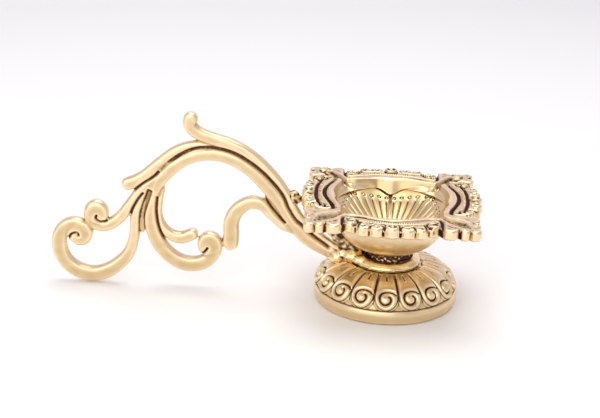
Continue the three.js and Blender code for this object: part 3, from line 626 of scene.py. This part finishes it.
def lug_shape(around, along):
    """A lumpy bulb on the ring's side that takes the handle's tail, widening into the ring."""
    x = 7.0 + 18.4 * along
    middle = np.interp(x, (7, 11, 14, 18, 21, 25.4), (17.7, 17.7, 17.8, 18.0, 18.4, 19.4))
    knots = (7, 11, 14, 16, 18.5, 20.5, 23, 25.4)
    tall = np.interp(x, knots, (1.3, 1.8, 2.3, 2.5, 2.9, 3.3, 3.0, 2.0))
    wide = np.interp(x, knots, (9.0, 7.8, 5.6, 4.4, 3.7, 3.6, 3.1, 2.2))
    close = dome(np.maximum(along - 0.84, 0), 0.16) * dome(np.maximum(0.1 - along, 0), 0.1)
    turn = around * 2 * math.pi
    return np.stack([-x, wide * close * np.cos(turn), middle + tall * close * np.sin(turn)], axis=1)


# Bowl: a point of the rim folded into one eighth, u along a side from its middle, v outwards
WAVE_MID, WAVE_DEPTH, WAVE_REACH = 26.1, 4.0, 17.8  # the inner ridge, at a side's middle, and how it waves
THROAT = ((0.73, 28.6), (math.pi / 4, 28.9))  # the mouth at a corner, as angle and radius
COLUMNS = (  # centre and radius of each round of the scalloped edge
    (0, 34.7, 2.95), (6.3, 34.9, 2.5), (11.6, 33.9, 2.6), (16.4, 30.4, 2.7), (23.4, 32.3, 3.3), (29.3, 33.4, 2.1),
)
CORNER = (33.3, 33.3, 2.2)
ROSETTE = 34.9  # how far out the rosette sits, at a side's middle
SCROLL = (16.4, 30.2)  # centre of the scroll beside each spout
ARC_STEPS = 24  # points on each round
EDGE_POINTS = 3600  # points round the whole edge
RIM_ROWS = (5, 14, 76, 98, 104)  # rows where the rim's underside, edge, carved top, collar and back end
RIM_BASE = 40.7
RIM_BACK = 23.6  # radius of the rim's hidden back
SHOULDER, HEEL = 0.9, 0.35  # rounding of the scalloped edge, above and below
SHELL_ROWS = (42, 46, 72, 150)  # rows where the shell's outside, brim, upper wall and well end
WELL = 22.9  # inside radius of the round bowl at its widest
WELL_TOP = 41.1
WELL_DEPTH = 16.7
BELLY = 1.25  # how full the inside is: 1 is a cone, 2 is half a ball
OUTER_FULL = 2.2  # the same for the outside
BOWL_PLACE = 0.6  # the cast bowl sits this far off the foot's axis, away from the handle
RISE = 0.5  # on the sides towards handle and tip the rim is this much higher
NOTCHES = (  # short dark cuts that run in from the slots between the columns
    ((3.5, 38.0), (3.3, 35.0), (4.3, 33.2)), ((9.1, 37.0), (8.9, 34.8), (7.8, 33.2)),
    ((13.9, 35.5), (13.4, 33.0), (12.8, 30.8)), ((26.9, 36.0), (26.9, 34.3)), ((31.0, 36.0), (31.0, 34.6)),
)
PITS = (  # centre, radius, depth of the dark pits in the scrolls
    (16.4, 29.6, 0.85, 1.6), (17.6, 27.0, 1.0, 1.8), (11.7, 34.3, 0.9, 1.4), (6.2, 35.0, 0.75, 1.1),
    (15.2, 32.6, 0.6, 0.9), (28.6, 34.0, 0.5, 0.8), (33.0, 32.2, 0.6, 0.9), (31.2, 30.4, 0.45, 0.6),
)
FURROW = ((17.8, 23.8), (19.2, 24.4), (19.9, 26.2), (20.0, 29.5), (19.8, 34.0))  # from the inner ridge to the edge
OUTER_FURROW = ((0, 31.6), (4, 31.6), (8, 31.2), (11, 30.6), (14, 29.9), (15.6, 29.3))


def slip(x, y):
    """How far the pattern sits off the middle, on the sides towards handle and tip."""
    near = np.abs(y) / np.maximum(np.abs(x), 0.01)
    return (2.6 + 0.03 * y) * smooth((1 - near) / 0.14)


def folded(x, y):
    """One eighth of the plan: distance along a side from its middle, and out from the axis."""
    across = np.abs(x) > np.abs(y)
    return np.where(across, np.abs(y - slip(x, y)), np.abs(x)), np.maximum(np.abs(x), np.abs(y))


def wave(u):
    """How far out the inner ridge runs."""
    return WAVE_MID - WAVE_DEPTH * smooth(np.minimum(u / WAVE_REACH, 1) ** 1.25)


def groove(away, half, depth):
    """A groove with rounded shoulders, by the distance from its middle."""
    return depth * smooth(1.25 - 0.9 * away / half)


def furrows(u, v):
    """Depth of the dark cuts: furrows beside the ridges, notches, pits and the grooves of the scrolls."""
    u_line = np.linspace(0, WAVE_REACH, 14)
    inner = np.array([*zip(u_line, wave(u_line) + 2.0), *curve_through(FURROW, 5)[1:]])
    away, share = nearest(inner, u, v)
    wide = np.interp(share, (0, 0.3, 0.5, 0.6, 1), (0.82, 0.85, 0.72, 0.62, 0.7))
    deep = groove(away, wide, np.interp(share, (0, 0.5, 0.6, 1), (1.9, 1.9, 1.5, 1.6)))
    away, share = nearest(curve_through(OUTER_FURROW, 5), u, v)
    deep = np.maximum(deep, groove(away, np.interp(share, (0, 0.8, 1), (0.75, 0.75, 0.5)), 1.6))
    for line in NOTCHES:
        away, share = nearest(curve_through(line, 3), u, v)
        deep = np.maximum(deep, groove(away, 0.45, 1.1 * (1 - 0.4 * share)))
    from_rosette = np.hypot(u, v - ROSETTE)
    deep = np.maximum(deep, 0.8 * dome(from_rosette - 1.3, 0.5))
    deep = np.maximum(deep, 1.0 * dome(from_rosette - 3.2, 0.5) * (v < 36))
    from_scroll = np.hypot(u - SCROLL[0], v - SCROLL[1])
    deep = np.maximum(deep, 1.0 * dome(from_scroll - 2.75, 0.5) * (u < 17))
    deep = np.maximum(deep, 0.7 * dome(from_scroll - 1.4, 0.4) * (v < 31))
    for pu, pv, wide, depth in PITS:
        deep = np.maximum(deep, depth * dome(np.hypot(u - pu, (v - pv) * 0.8), wide))
    return deep


def rim_top(x, y):
    """Height of the carved top of the rim."""
    size = sizes()
    u, v = folded(x, y)
    z = np.full(len(u), size.crest - 0.1)
    # the spout: a trough along the diagonal, deepest near the well
    out, side = spout(x, y)
    half = np.interp(out, (26, 30, 33, 36, 39, 41.5, 44), (1.4, 1.6, 2.4, 3.0, 3.1, 2.2, 0.8))
    deep = np.interp(out, (26, 33, 37, 40, 42.5, 44.5), (2.4, 2.6, 2.3, 1.5, 0.5, 0.0))
    z -= deep * (1 - np.clip(side / half, 0, 1) ** 2.6)
    z += 0.3 * dome(side - half - 0.9, 1.2) * smooth((out - 31) / 3) * smooth((42 - out) / 3)
    # the ridges are softly rounded, the outer one faintly hatched
    z += 0.15 * dome(np.abs(v - wave(u)), 1.2) * (u < WAVE_REACH)
    hatch = np.cos(2 * math.pi * u / 0.95) * smooth((v - 28.6) / 0.8) * smooth((31.2 - v) / 0.8)
    z += 0.09 * hatch * (u < 14)
    # the rosette on its low drum, and the scroll beside the spout
    from_rosette = np.hypot(u, v - ROSETTE)
    z += 0.35 * smooth((2.9 - from_rosette) / 0.3)
    z += 0.25 * dome(from_rosette - 2.1, 0.55) + 0.25 * dome(from_rosette, 0.8)
    z += 0.3 * smooth((2.5 - np.hypot(u - SCROLL[0], v - SCROLL[1])) / 0.5)
    z -= furrows(u, v)
    across = np.abs(x) > np.abs(y)
    return z + RISE * np.clip(1 - (y / np.where(across, x, 1)) ** 2, 0, 1) * across


def spout(x, y):
    """Distance out along the nearest diagonal, and off it."""
    return (np.abs(x) + np.abs(y)) / 2**0.5, np.abs(np.abs(x) - np.abs(y)) / 2**0.5


def corner_share(turn):
    """0 at the middle of a side, 1 on a diagonal, for an angle round the bowl."""
    fold = turn % (math.pi / 2)
    return np.minimum(fold, math.pi / 2 - fold) / (math.pi / 4)


def mouth(turn):
    """Radius of the crest of the inner ridge, or of the throat at a corner."""
    u = np.linspace(-WAVE_REACH, WAVE_REACH, 45)
    v = wave(np.abs(u)) - 0.55
    xs, ys = [], []
    for sign in (-1, 1):
        xs += [sign * v, u]
        ys += [u + slip(v, u), sign * v]
    xs, ys = np.concatenate(xs), np.concatenate(ys)
    angles, radii = np.arctan2(ys, xs), np.hypot(xs, ys)
    keep = corner_share(angles) < 0.93
    for quarter in range(4):
        for a, r in THROAT:
            for way in (-1, 1):
                angles = np.append(angles, quarter * math.pi / 2 + math.pi / 4 + way * (math.pi / 4 - a))
                radii, keep = np.append(radii, r), np.append(keep, True)
    angles = angles[keep] % (2 * math.pi)
    order = np.argsort(angles)
    return np.interp(turn, angles[order], radii[keep][order], period=2 * math.pi)


def lip_height(turn, top):
    """Height of the collar's lower edge, which drapes to a point at the middle of each side."""
    share = corner_share(turn)
    share = np.sqrt(share**2 + 0.01) - 0.1
    drape = 38.6 + 4.4 * (1 - np.maximum(1 - share / 0.62, 0) ** 1.6) + 0.3 * share
    return np.minimum(drape, top - 0.9 - 0.4 * smooth((top - 43.6) / 2))


def flare(turn, z):
    """How much further out the bowl is than round, as it opens to the ridges' plan."""
    return (mouth(turn) - 0.8 - WELL) * smooth((z - 36.5) / 7.5)


def well_radius(turn, z):
    """Inside radius of the bowl: nearly a cone below, opening to the ridges' plan at the top."""
    share = np.clip((WELL_TOP - z) / WELL_DEPTH, 0, 1)
    return WELL * (1 - share**BELLY) ** (1 / BELLY) + flare(turn, z)


def rim_outline(count):
    """The scalloped edge as points at even spacing, and the distance of each from the next notch."""
    side = [(-u, v, r) for u, v, r in COLUMNS[:0:-1]] + list(COLUMNS) + [CORNER]
    ring = []
    for k in range(4):
        c, s = round(math.cos(math.pi / 2 * k)), round(math.sin(math.pi / 2 * k))
        for u, v, r in side:
            x, y = u * c + v * s, v * c - u * s
            if abs(x) > abs(y):
                y += float(slip(x, y))
            ring.append((x, y, r))
    run, notches = [], []
    for i, (x, y, r) in enumerate(ring):
        start = meeting(ring[i - 1], ring[i])
        end = meeting(ring[i], ring[(i + 1) % len(ring)])
        first = math.atan2(start[1] - y, start[0] - x)
        sweep = (math.atan2(end[1] - y, end[0] - x) - first) % (-2 * math.pi)
        notches.append(len(run))
        for k in range(ARC_STEPS):
            a = first + sweep * k / ARC_STEPS
            run.append((x + r * math.cos(a), y + r * math.sin(a)))
    run = np.array([*run, run[0]])
    travel = np.concatenate([[0], np.cumsum(np.hypot(*np.diff(run, axis=0).T))])
    at = np.linspace(0, travel[-1], count + 1)[:-1]
    points = np.stack([np.interp(at, travel, run[:, k]) for k in (0, 1)], axis=1)
    # the notches between the rounds are nearly filled: out to the edge as seen over a few mm
    reach = np.hypot(points[:, 0], points[:, 1])
    window = round(2.4 / travel[-1] * count)
    around = np.concatenate([reach[-2 * window:], reach, reach[:2 * window]])
    high = np.array([around[i:i + 2 * window + 1].max() for i in range(count + 2 * window)])
    filled = np.array([high[i:i + 2 * window + 1].min() for i in range(count)])
    points = points * (1 + 0.8 * (filled - reach) / reach)[:, None]
    marks = travel[notches]
    gap = np.abs(at[:, None] - marks[None, :])
    gap = np.minimum(gap, travel[-1] - gap).min(axis=1)
    return points, gap


def meeting(one, two):
    """Where two neighbouring columns' outlines meet on their outer side."""
    (x0, y0, r0), (x1, y1, r1) = one, two
    d = math.hypot(x1 - x0, y1 - y0)
    a = (d * d + r0 * r0 - r1 * r1) / (2 * d)
    h = math.sqrt(max(r0 * r0 - a * a, 0.04))
    ex, ey = (x1 - x0) / d, (y1 - y0) / d
    return x0 + ex * a - ey * h, y0 + ey * a + ex * h


def rim_shape(around, along):
    """The rim's closed section, swept round: underside, edge, carved top, collar and back."""
    edge, gap = rim_outline(EDGE_POINTS)
    # the section's plane turns evenly, while the edge under it runs in and out
    turns = np.unwrap(np.arctan2(edge[:, 1], edge[:, 0]))
    total = turns[-1] + (turns[1] - turns[0]) - turns[0]
    total = 2 * math.pi * round(total / (2 * math.pi))
    wide = 60
    long = np.concatenate([turns[-wide:] - total, turns, turns[:wide] + total])
    soft = np.convolve(long, np.ones(2 * wide + 1) / (2 * wide + 1), mode="valid")
    inward = edge / np.hypot(edge[:, 0], edge[:, 1])[:, None]
    at = np.round(around * EDGE_POINTS).astype(int) % EDGE_POINTS
    slot = smooth((0.95 - gap[at]) / 0.4)
    ex, ey = (edge[at] - inward[at] * (0.25 * slot)[:, None]).T
    turn = soft[at]
    crest = mouth(turn)
    mx, my = crest * np.cos(turn), crest * np.sin(turn)
    back = np.hypot(ex, ey)
    tx, ty = ex * (1 - SHOULDER / back), ey * (1 - SHOULDER / back)
    edge_z = rim_top(tx, ty)
    top_z = rim_top(mx, my)
    low = lip_height(turn, top_z)
    lip = well_radius(turn, low) - 0.8 + 0.5 * smooth((corner_share(turn) - 0.8) / 0.2)

    row = along * RIM_ROWS[-1]
    starts = (0, *RIM_ROWS[:-1])
    under, side, top, collar, rear = (part_way(row, start, end) for start, end in zip(starts, RIM_ROWS))
    # underside, flat, from the back to just inside the edge
    reach = RIM_BACK + (back - HEEL - RIM_BACK) * under
    near = HEEL / back
    x = reach * np.cos(turn) * (1 - under) + (ex - near * ex) * under
    y = reach * np.sin(turn) * (1 - under) + (ey - near * ey) * under
    parts = [(x, y, np.full(len(row), RIM_BASE))]
    # edge, upright, rounded above and slotted between the rounds
    fall = SHOULDER / (edge_z - RIM_BASE)
    rounding = SHOULDER * (1 - np.sqrt(1 - np.clip((side - 1 + fall) / fall, 0, 1) ** 2))
    inset = np.where(side > 0.5, rounding, HEEL * (1 - cord(side, 0.12)))
    inset = np.maximum(inset, 1.25 * slot * smooth((0.74 - side) / 0.16) * smooth((side - 0.02) / 0.1))
    parts.append((ex - inset * ex / back, ey - inset * ey / back, RIM_BASE + (edge_z - RIM_BASE) * side))
    # carved top, straight across to the inner ridge
    x, y = tx + (mx - tx) * top, ty + (my - ty) * top
    parts.append((x, y, rim_top(x, y)))
    # collar, down from the ridge to its draped lower edge
    fallen = 0.35 * np.sin(math.pi / 2 * np.clip(collar / 0.3, 0, 1)) + 0.65 * collar**1.8
    r = crest - (crest - lip) * fallen
    z = top_z - (top_z - low) * (0.15 * collar**2 + 0.85 * (1 - np.cos(math.pi / 2 * collar)) ** 0.8)
    parts.append((r * np.cos(turn), r * np.sin(turn), z))
    # back, hidden behind the shell's wall
    r = lip + (RIM_BACK - lip) * rear
    z = low - 0.25 * smooth(rear / 0.3) + (RIM_BASE - low + 0.25) * smooth(rear)
    parts.append((r * np.cos(turn), r * np.sin(turn), z))
    chosen = np.select([row <= end for end in RIM_ROWS[:-1]], range(4), 4)
    stacked = np.array([np.stack(part, axis=1) for part in parts])
    return stacked[chosen, np.arange(len(row))]


def shell_section():
    """The shell's outside from the axis under its neck up to its brim."""
    outer = [(0, 19.2, 1), (9.8, 19.2, 1), (10.0, 19.5, 2), (9.5, 20.2, 2), (9.3, 21.6, 2), (9.5, 22.3, 2)]
    for s in np.linspace(0.935, 0, 30):
        outer.append((24.5 * (1 - s**OUTER_FULL) ** (1 / OUTER_FULL), WELL_TOP - 19.9 * s, 1))
    return [*outer, (24.5, 41.6, 1)]


def shell_shape(around, along):
    """The bowl's round shell with its neck, chased inside with four ribbed petals."""
    turn = around * 2 * math.pi
    fold = corner_share(turn) * math.pi / 4
    outside, brim, high, last = SHELL_ROWS
    row = along * last
    rows, run = spread(shell_section())
    at = part_way(row, 0, outside) * run[-1]
    r_out, z_out = np.interp(at, run, rows[:, 0]), np.interp(at, run, rows[:, 1])
    r_out = r_out + flare(turn, z_out)
    top = lip_height(turn, rim_top(mouth(turn) * np.cos(turn), mouth(turn) * np.sin(turn))) + 0.8
    # inside: the upper wall by height, the well by an angle, so that its rows stay even
    z_high = top + (37.5 - top) * part_way(row, brim, high)
    start = math.asin((3.6 / WELL_DEPTH) ** (BELLY / 2))
    angle = start + (math.pi / 2 - start) * part_way(row, high, last)
    z_low = WELL_TOP - WELL_DEPTH * np.sin(angle) ** (2 / BELLY)
    z_in = np.where(row <= high, z_high, z_low)
    low_r = WELL * np.maximum(np.cos(angle), 0) ** (2 / BELLY) + flare(turn, z_low)
    z_in = z_in + 0.7 * dome(low_r, 5) * (row > high)
    r_in = np.where(row <= high, well_radius(turn, z_in), low_r)
    r_in = np.where(along > 0.9999, 0, r_in)
    # chasing, cut away from the inside along the wall's normal
    nr = (np.minimum(r_in, WELL) / WELL) ** (BELLY - 1) / WELL
    nz = -(np.clip((WELL_TOP - z_in) / WELL_DEPTH, 0, 1) ** (BELLY - 1)) / WELL_DEPTH
    size = sizes()
    step = 2 * math.pi / size.ribs
    away = np.abs(turn % step - step / 2) * r_in
    half = step / 2 * r_in
    # ribs below a draped row of dots, which rises towards the corners
    dots = 37.1 + 2.8 * (fold / (math.pi / 4)) ** 1.3
    under = smooth((dots - 0.9 - z_in) / 0.7) * smooth((r_in - 2) / 2)
    cut = size.rib_relief * under * (1 - cord(away - 0.1 * half, 0.52 * half))
    from_dot = np.hypot(away, 1.5 * (z_in - dots))
    cut += 0.3 * dome(from_dot - 0.62, 0.26) - 0.15 * dome(from_dot, 0.35)
    # a wider groove down the middle of each side, a short one up each corner
    cut += 0.55 * dome(fold * r_in, 0.8) * smooth((r_in - 3) / 2)
    cut += 0.6 * dome((math.pi / 4 - fold) * r_in, 0.5) * smooth((z_in - 39.0) / 1.5)
    long = np.hypot(nr, nz)
    r_in = r_in + cut * nr / long
    z_in = z_in + cut * nz / long
    link = part_way(row, outside, brim)
    parts = [row <= outside, row <= brim]
    r = np.select(parts, [r_out, r_out + (well_radius(turn, top) - r_out) * link], r_in)
    z = np.select(parts, [z_out, z_out + (top - z_out) * link], z_in)
    return swung(r, turn, z)


# Stud
STUD_ROWS, STUD_CAP = 170, 4  # rows along the stud, and how many of them close each end


def stud_shape(around, along):
    """A threaded stud: a ramp of ridges wound round a pin, run out at both ends."""
    low, high, core, thread = 5.1, 22.8, 2.5, 0.45
    row = along * STUD_ROWS
    z = low + (high - low) * part_way(row, STUD_CAP, STUD_ROWS - STUD_CAP)
    wound = np.abs(((z / sizes().pitch - around) % 1) * 2 - 1)
    ends = smooth((z - low) / 0.8) * smooth((high - z) / 0.8)
    r = (core + thread * wound * ends) * np.clip(np.minimum(row, STUD_ROWS - row) / STUD_CAP, 0, 1)
    return swung(r, around * 2 * math.pi, z)


# Operators, one for each piece or group
def settle(obj, material, slot, *nodes):
    """Gives a finished piece its material and puts it on the lamp in place of its CAD nodes."""
    dress(obj, material)
    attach(obj, "root")
    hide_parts(*nodes)


class LAMP_OT_foot(bpy.types.Operator):
    """Casts the hollow foot with its ring of curled petals"""

    bl_idname = "lamp.foot"
    bl_label = "Foot"

    def execute(self, context):
        foot = sheet("foot_casting", sizes().petals * PETAL_LINES, 148, foot_shape)
        xyz = points_of(foot)
        put_points(foot, xyz + 0.05 * uneven(xyz, 5, 3)[:, None] * (0, 0, 1))
        note(foot, "cavity", hollows(foot, (4, 0.07), (24, 0.3)))
        # cast and chased brass: petals worn bright, with a painted highlight on their crests, every groove a thin dark
        # line
        settle(foot, antique_brass("chased cast brass", colours().brass, 0.34), "foot_brass", "foot")
        return {"FINISHED"}


class LAMP_OT_handle(bpy.types.Operator):
    """Casts the flat scrollwork handle from its strands"""

    bl_idname = "lamp.handle"
    bl_label = "Handle"

    def execute(self, context):
        bars = []
        for points in (STEM, FINIAL, HOOK, SMALL_CURL, BIG_LOOP, TENDRIL, S_CURL, *WEBS):
            bars += strand(points)
        bars += [ball(x, 0, z, radius) for x, z, radius in EYES]
        handle = fuse("handle_casting", bars, sizes().grain, 6, flatten)
        put_points(handle, groove_faces(points_of(handle)))
        modify(handle, "SMOOTH", factor=0.5, iterations=2)
        xyz = points_of(handle)
        put_points(handle, xyz + 0.03 * uneven(xyz, 6, 5)[:, None] * (0.4, 1, 0.4))
        note(handle, "cavity", deepen(hollows(handle, (4, 0.06), (30, 0.35)), 0.75))
        # cast brass filed by hand: an even satin, brown only between the strands; its tint is painted darker than the
        # rest as painted shade against the strong front light
        settle(handle, antique_brass("filed cast brass", colours().handle, 0.36), "handle_brass", "handle")
        return {"FINISHED"}


class LAMP_OT_ring(bpy.types.Operator):
    """Turns the neck ring with the lug that holds the handle"""

    bl_idname = "lamp.ring"
    bl_label = "Neck ring"

    def execute(self, context):
        pieces = [sheet("ring_blank", 160, 60, ring_shape), sheet("lug_blank", 40, 40, lug_shape)]
        pieces += strand(BRAZE_RUN, -1.6) + [ball(*weld) for weld in WELDS]
        ring = fuse("neck_ring_turning", pieces, 0.26, 5)
        xyz = points_of(ring)
        x, y, z = xyz.T
        # the turned ring is smooth, the lug and the metal that ran from it are rough
        rough = np.maximum(smooth((-x - 15) / 3), smooth((z - 19.4) / 1.5) * (x < -10))
        put_points(ring, xyz + (0.04 + 0.16 * rough)[:, None] * uneven(xyz, 3, 8)[:, None] * (0.6, 0.6, 1))
        # the turned ring's flat level of 0.42 mixes in some crest colour: a painted highlight over its polish
        level = np.where(rough > 0, hollows(ring, (4, 0.06), (20, 0.3)) + 0.12 * rough * uneven(xyz, 2.2, 9), 0.42)
        # darker along the ring's lower edge, where it sits on the foot; flux stain and painted shade of the rim on the
        # metal that ran; patina and painted shadow of the bowl all over the collar below the bowl
        level += 0.4 * smooth((17.0 - z) / 0.6) * (1 - rough) * (0.6 + uneven(xyz, 1.6, 21))
        # flux stain and painted shade on the metal that ran up the bowl's side
        level += 0.38 * smooth((z - 21) / 2)
        # patina and painted shadow of the bowl on the ring's top beside the neck
        level = np.where((np.hypot(x, y) < 11.1) & (z > 19), 0.95, level)
        note(ring, "cavity", level)
        # turned brass, polished, in a colour painted lighter than the rest as a painted reflection: the brightest part,
        # with streaks of light along its edge
        settle(ring, antique_brass("polished turned brass", colours().ring, 0.24), "ring_brass", "neck_ring")
        return {"FINISHED"}


class LAMP_OT_bowl(bpy.types.Operator):
    """Casts the bowl: its carved four-cornered rim and its round, ribbed shell"""

    bl_idname = "lamp.bowl"
    bl_label = "Bowl"

    def execute(self, context):
        self.cast_rim()
        self.cast_shell()
        return {"FINISHED"}

    def cast_rim(self):
        rim = sheet("bowl_rim", 900, RIM_ROWS[-1], rim_shape)
        xyz = points_of(rim)
        put_points(rim, xyz + 0.05 * uneven(xyz, 4, 11)[:, None] * (0.5, 0.5, 1) + (BOWL_PLACE, 0, 0))
        x, y, z = (xyz - (BOWL_PLACE, 0, 0)).T
        out, side = spout(x, y)
        u, v = folded(x, y)
        # patina in every cut and a little on the scrolls outside the ridges; down each spout a line that is partly
        # patina and partly painted shade in the trough's bottom
        sunk = smooth(furrows(u, v) / 0.6)
        sunk += 0.28 * smooth((v - 28.5) / 2) * (0.4 + uneven(xyz, 2.5, 31))
        # partly patina, partly painted shade along the bottom of each spout's trough
        sunk += 0.3 * smooth((1.2 - side) / 0.9) * smooth((out - 28) / 2) * smooth((42 - out) / 2)
        sunk = np.clip(sunk, 0, 1) * (z > 41.4)
        note(rim, "cavity", deepen(hollows(rim, (3, 0.055), (24, 0.3)), 1.9) + 0.45 * sunk)
        # cast brass, carved: bright ridges, partly worn bright and partly a painted highlight, beside deep brown cuts
        settle(rim, antique_brass("carved cast brass", colours().brass, 0.32), "bowl_brass", "bowl")

    def cast_shell(self):
        shell = sheet("bowl_shell", 600, SHELL_ROWS[-1], shell_shape)
        put_points(shell, points_of(shell) + (BOWL_PLACE, 0, 0))
        xyz = points_of(shell)
        x, y, z = xyz.T
        # patina and painted shadow of the bowl all over the neck outside, and painted shadow of the collar's lip in the
        # corner under the collar
        neck = smooth((23.2 - z) / 1.2) * (np.hypot(x, y) > 6)
        turn = np.arctan2(y, x)
        lip = lip_height(turn, rim_top(mouth(turn) * np.cos(turn), mouth(turn) * np.sin(turn)))
        # the dome under the lip adds the painted shadow of the collar's lip
        level = deepen(hollows(shell, (3, 0.06), (20, 0.24)), 1.6) + 0.7 * dome(z - lip, 0.7)
        note(shell, "cavity", level * (1 - neck) + neck * (0.95 + 0.3 * uneven(xyz, 1.4, 12)))
        # cast brass, buffed: the yellowest part, glossy enough to mirror its own ribs
        settle(shell, antique_brass("buffed cast brass", colours().gold, 0.3), "bowl_brass", "bowl")


BRAZE_BALLS = (  # centre, radius, squash of the knob between rim and handle
    (-40.2, -0.3, 43.2, 2.5, (1.0, 0.95, 1.05)), (-38.6, -0.2, 42.2, 2.1, (1.0, 0.95, 0.9)),
    (-39.6, -0.9, 41.6, 1.9, (1.0, 0.9, 1.0)),
)


class LAMP_OT_joints(bpy.types.Operator):
    """Makes the brazed lug at the rim and the stud in the foot, and gives the washer and nut their material"""

    bl_idname = "lamp.joints"
    bl_label = "Joints"

    def execute(self, context):
        lug = fuse("braze_blob", [ball(*lump) for lump in BRAZE_BALLS], 0.22, 4)
        note(lug, "cavity", 0.62 + 0.25 * uneven(points_of(lug), 1.6, 14))
        # braze brass left as it set: dull, blotched with flux stain
        settle(lug, antique_brass("rough braze brass", colours().brass, 0.45), "braze_brass", "braze_lug")
        # turned brass, never polished: dull, with brown clouds
        dull = turned_brass("dull turned brass", colours().fastener, 0.42)
        settle(sheet("threaded_stud", 48, STUD_ROWS, stud_shape), dull, "fastener_brass", "clamp_stud")
        for node in ("washer", "hex_nut"):
            dress(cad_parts[node], dull)
        return {"FINISHED"}


# Stage, in metres: each light's name, place, side, power in W and colour
LIGHTS = (
    ("front light", (-0.25, -0.75, 0.30), 1.1, 4.7, (1.0, 0.98, 0.95)),
    ("left light", (-0.75, -0.10, 0.42), 0.5, 0.4, (1.0, 0.98, 0.98)),
    ("right light", (0.70, -0.25, 0.38), 0.5, 0.35, (1.0, 0.98, 0.97)),
    ("top light", (0.05, 0.15, 0.85), 0.6, 3.4, (1.0, 0.97, 0.92)),
)
LIGHTS_AIM = (0.0, 0.0, 0.03)
FLOOR_WHITE = "#fdfdfd"
ROOM_FRONT = (0.48, 0.47, 0.48, 1)  # the room's light from the camera's side
ROOM_BEHIND = (0.97, 0.93, 1.15, 1)  # and the cooler light of the backdrop
CAMERA_TURN = (20.405, 2.381, 1.872)  # pitch, roll and yaw in degrees
CAMERA_AIM = (-37.44, 0, 37.57)  # in mm from the foot's axis
CAMERA_AWAY = 0.65
CAMERA_LENS = 93.07  # in mm, on a sensor 36 mm wide


class LAMP_OT_stage(bpy.types.Operator):
    """Sets the pale floor, the soft lights and the camera"""

    bl_idname = "lamp.stage"
    bl_label = "Stage"

    def execute(self, context):
        scene = context.scene
        bpy.ops.object.select_all(action="DESELECT")
        bpy.ops.mesh.primitive_plane_add(size=6, location=(0, 1.0, -0.5 * MM))
        floor = named("floor")
        # matt paper: white, without a shine, so that only the lamp's shadow shows on it
        pale = bpy.data.materials.new("matt white paper")
        pale.use_nodes = True
        shader = pale.node_tree.nodes["Principled BSDF"]
        shader.inputs["Base Color"].default_value = linear(FLOOR_WHITE)
        shader.inputs["Roughness"].default_value = 0.9
        floor.data.materials.append(pale)
        lights = [panel(*light) for light in LIGHTS]
        world = bpy.data.worlds.new("studio")
        world.use_nodes = True
        tree = world.node_tree
        way = add(tree, "ShaderNodeTexCoord").outputs["Generated"]
        split = add(tree, "ShaderNodeSeparateXYZ", i0=way)
        behind = add(tree, "ShaderNodeMapRange", {1: 0.35, 2: 0.85}, i0=split.outputs["Y"]).outputs[0]
        room = add(tree, "ShaderNodeMix", {"data_type": "RGBA", 6: ROOM_FRONT, 7: ROOM_BEHIND}, i0=behind)
        tree.links.new(room.outputs[2], tree.nodes["Background"].inputs[0])
        scene.world = world
        scene.view_settings.view_transform = "Standard"
        camera = bpy.data.objects.new("camera", bpy.data.cameras.new("camera"))
        scene.collection.objects.link(camera)
        place_camera(camera)
        scene.camera = camera
        return {"FINISHED"}


def panel(name, place, side, power, colour):
    """A square soft light, aimed at the lamp."""
    data = bpy.data.lights.new(name, "AREA")
    data.shape = "SQUARE"
    data.size = side
    data.energy = power
    data.color = colour
    obj = bpy.data.objects.new(name, data)
    bpy.context.scene.collection.objects.link(obj)
    obj.location = place
    obj.rotation_euler = (Vector(LIGHTS_AIM) - Vector(place)).to_track_quat("-Z", "Y").to_euler()
    return obj


def place_camera(camera):
    """Stands the camera where the lamp was photographed from."""
    pitch, roll, yaw = (math.radians(angle) for angle in CAMERA_TURN)
    back = Vector((math.sin(yaw) * math.cos(pitch), -math.cos(yaw) * math.cos(pitch), math.sin(pitch)))
    right = Vector((math.cos(yaw), math.sin(yaw), 0))
    up = back.cross(right)
    across = right * math.cos(roll) + up * math.sin(roll)
    upright = up * math.cos(roll) - right * math.sin(roll)
    eye = (Vector(CAMERA_AIM) + Vector((AXIS, 0, 0))) * MM + back * CAMERA_AWAY
    camera.matrix_world = Matrix.Translation(eye) @ Matrix((across, upright, back)).transposed().to_4x4()
    camera.data.lens = CAMERA_LENS
    camera.data.sensor_width = 36


class LAMP_PT_panel(bpy.types.Panel):
    """Sizes, colours and the steps that build the lamp"""

    bl_idname = "LAMP_PT_panel"
    bl_label = "Handled oil lamp"
    bl_space_type = "VIEW_3D"
    bl_region_type = "UI"
    bl_category = "Lamp"

    def draw(self, context):
        for group in (context.scene.lamp_sizes, context.scene.lamp_colours):
            for key in group.__annotations__:
                self.layout.prop(group, key)
        for step in STEPS:
            self.layout.operator(step.bl_idname)


STEPS = (LAMP_OT_foot, LAMP_OT_handle, LAMP_OT_ring, LAMP_OT_bowl, LAMP_OT_joints, LAMP_OT_stage)
CLASSES = (LampSizes, LampColours, *STEPS, LAMP_PT_panel)


def register():
    for item in CLASSES:
        bpy.utils.register_class(item)
    bpy.types.Scene.lamp_sizes = bpy.props.PointerProperty(type=LampSizes)
    bpy.types.Scene.lamp_colours = bpy.props.PointerProperty(type=LampColours)


def unregister():
    del bpy.types.Scene.lamp_colours
    del bpy.types.Scene.lamp_sizes
    for item in reversed(CLASSES):
        bpy.utils.unregister_class(item)


def main():
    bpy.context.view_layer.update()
    register()
    bpy.ops.lamp.foot()
    bpy.ops.lamp.handle()
    bpy.ops.lamp.ring()
    bpy.ops.lamp.bowl()
    bpy.ops.lamp.joints()
    bpy.ops.lamp.stage()


if __name__ == "__main__":
    main()
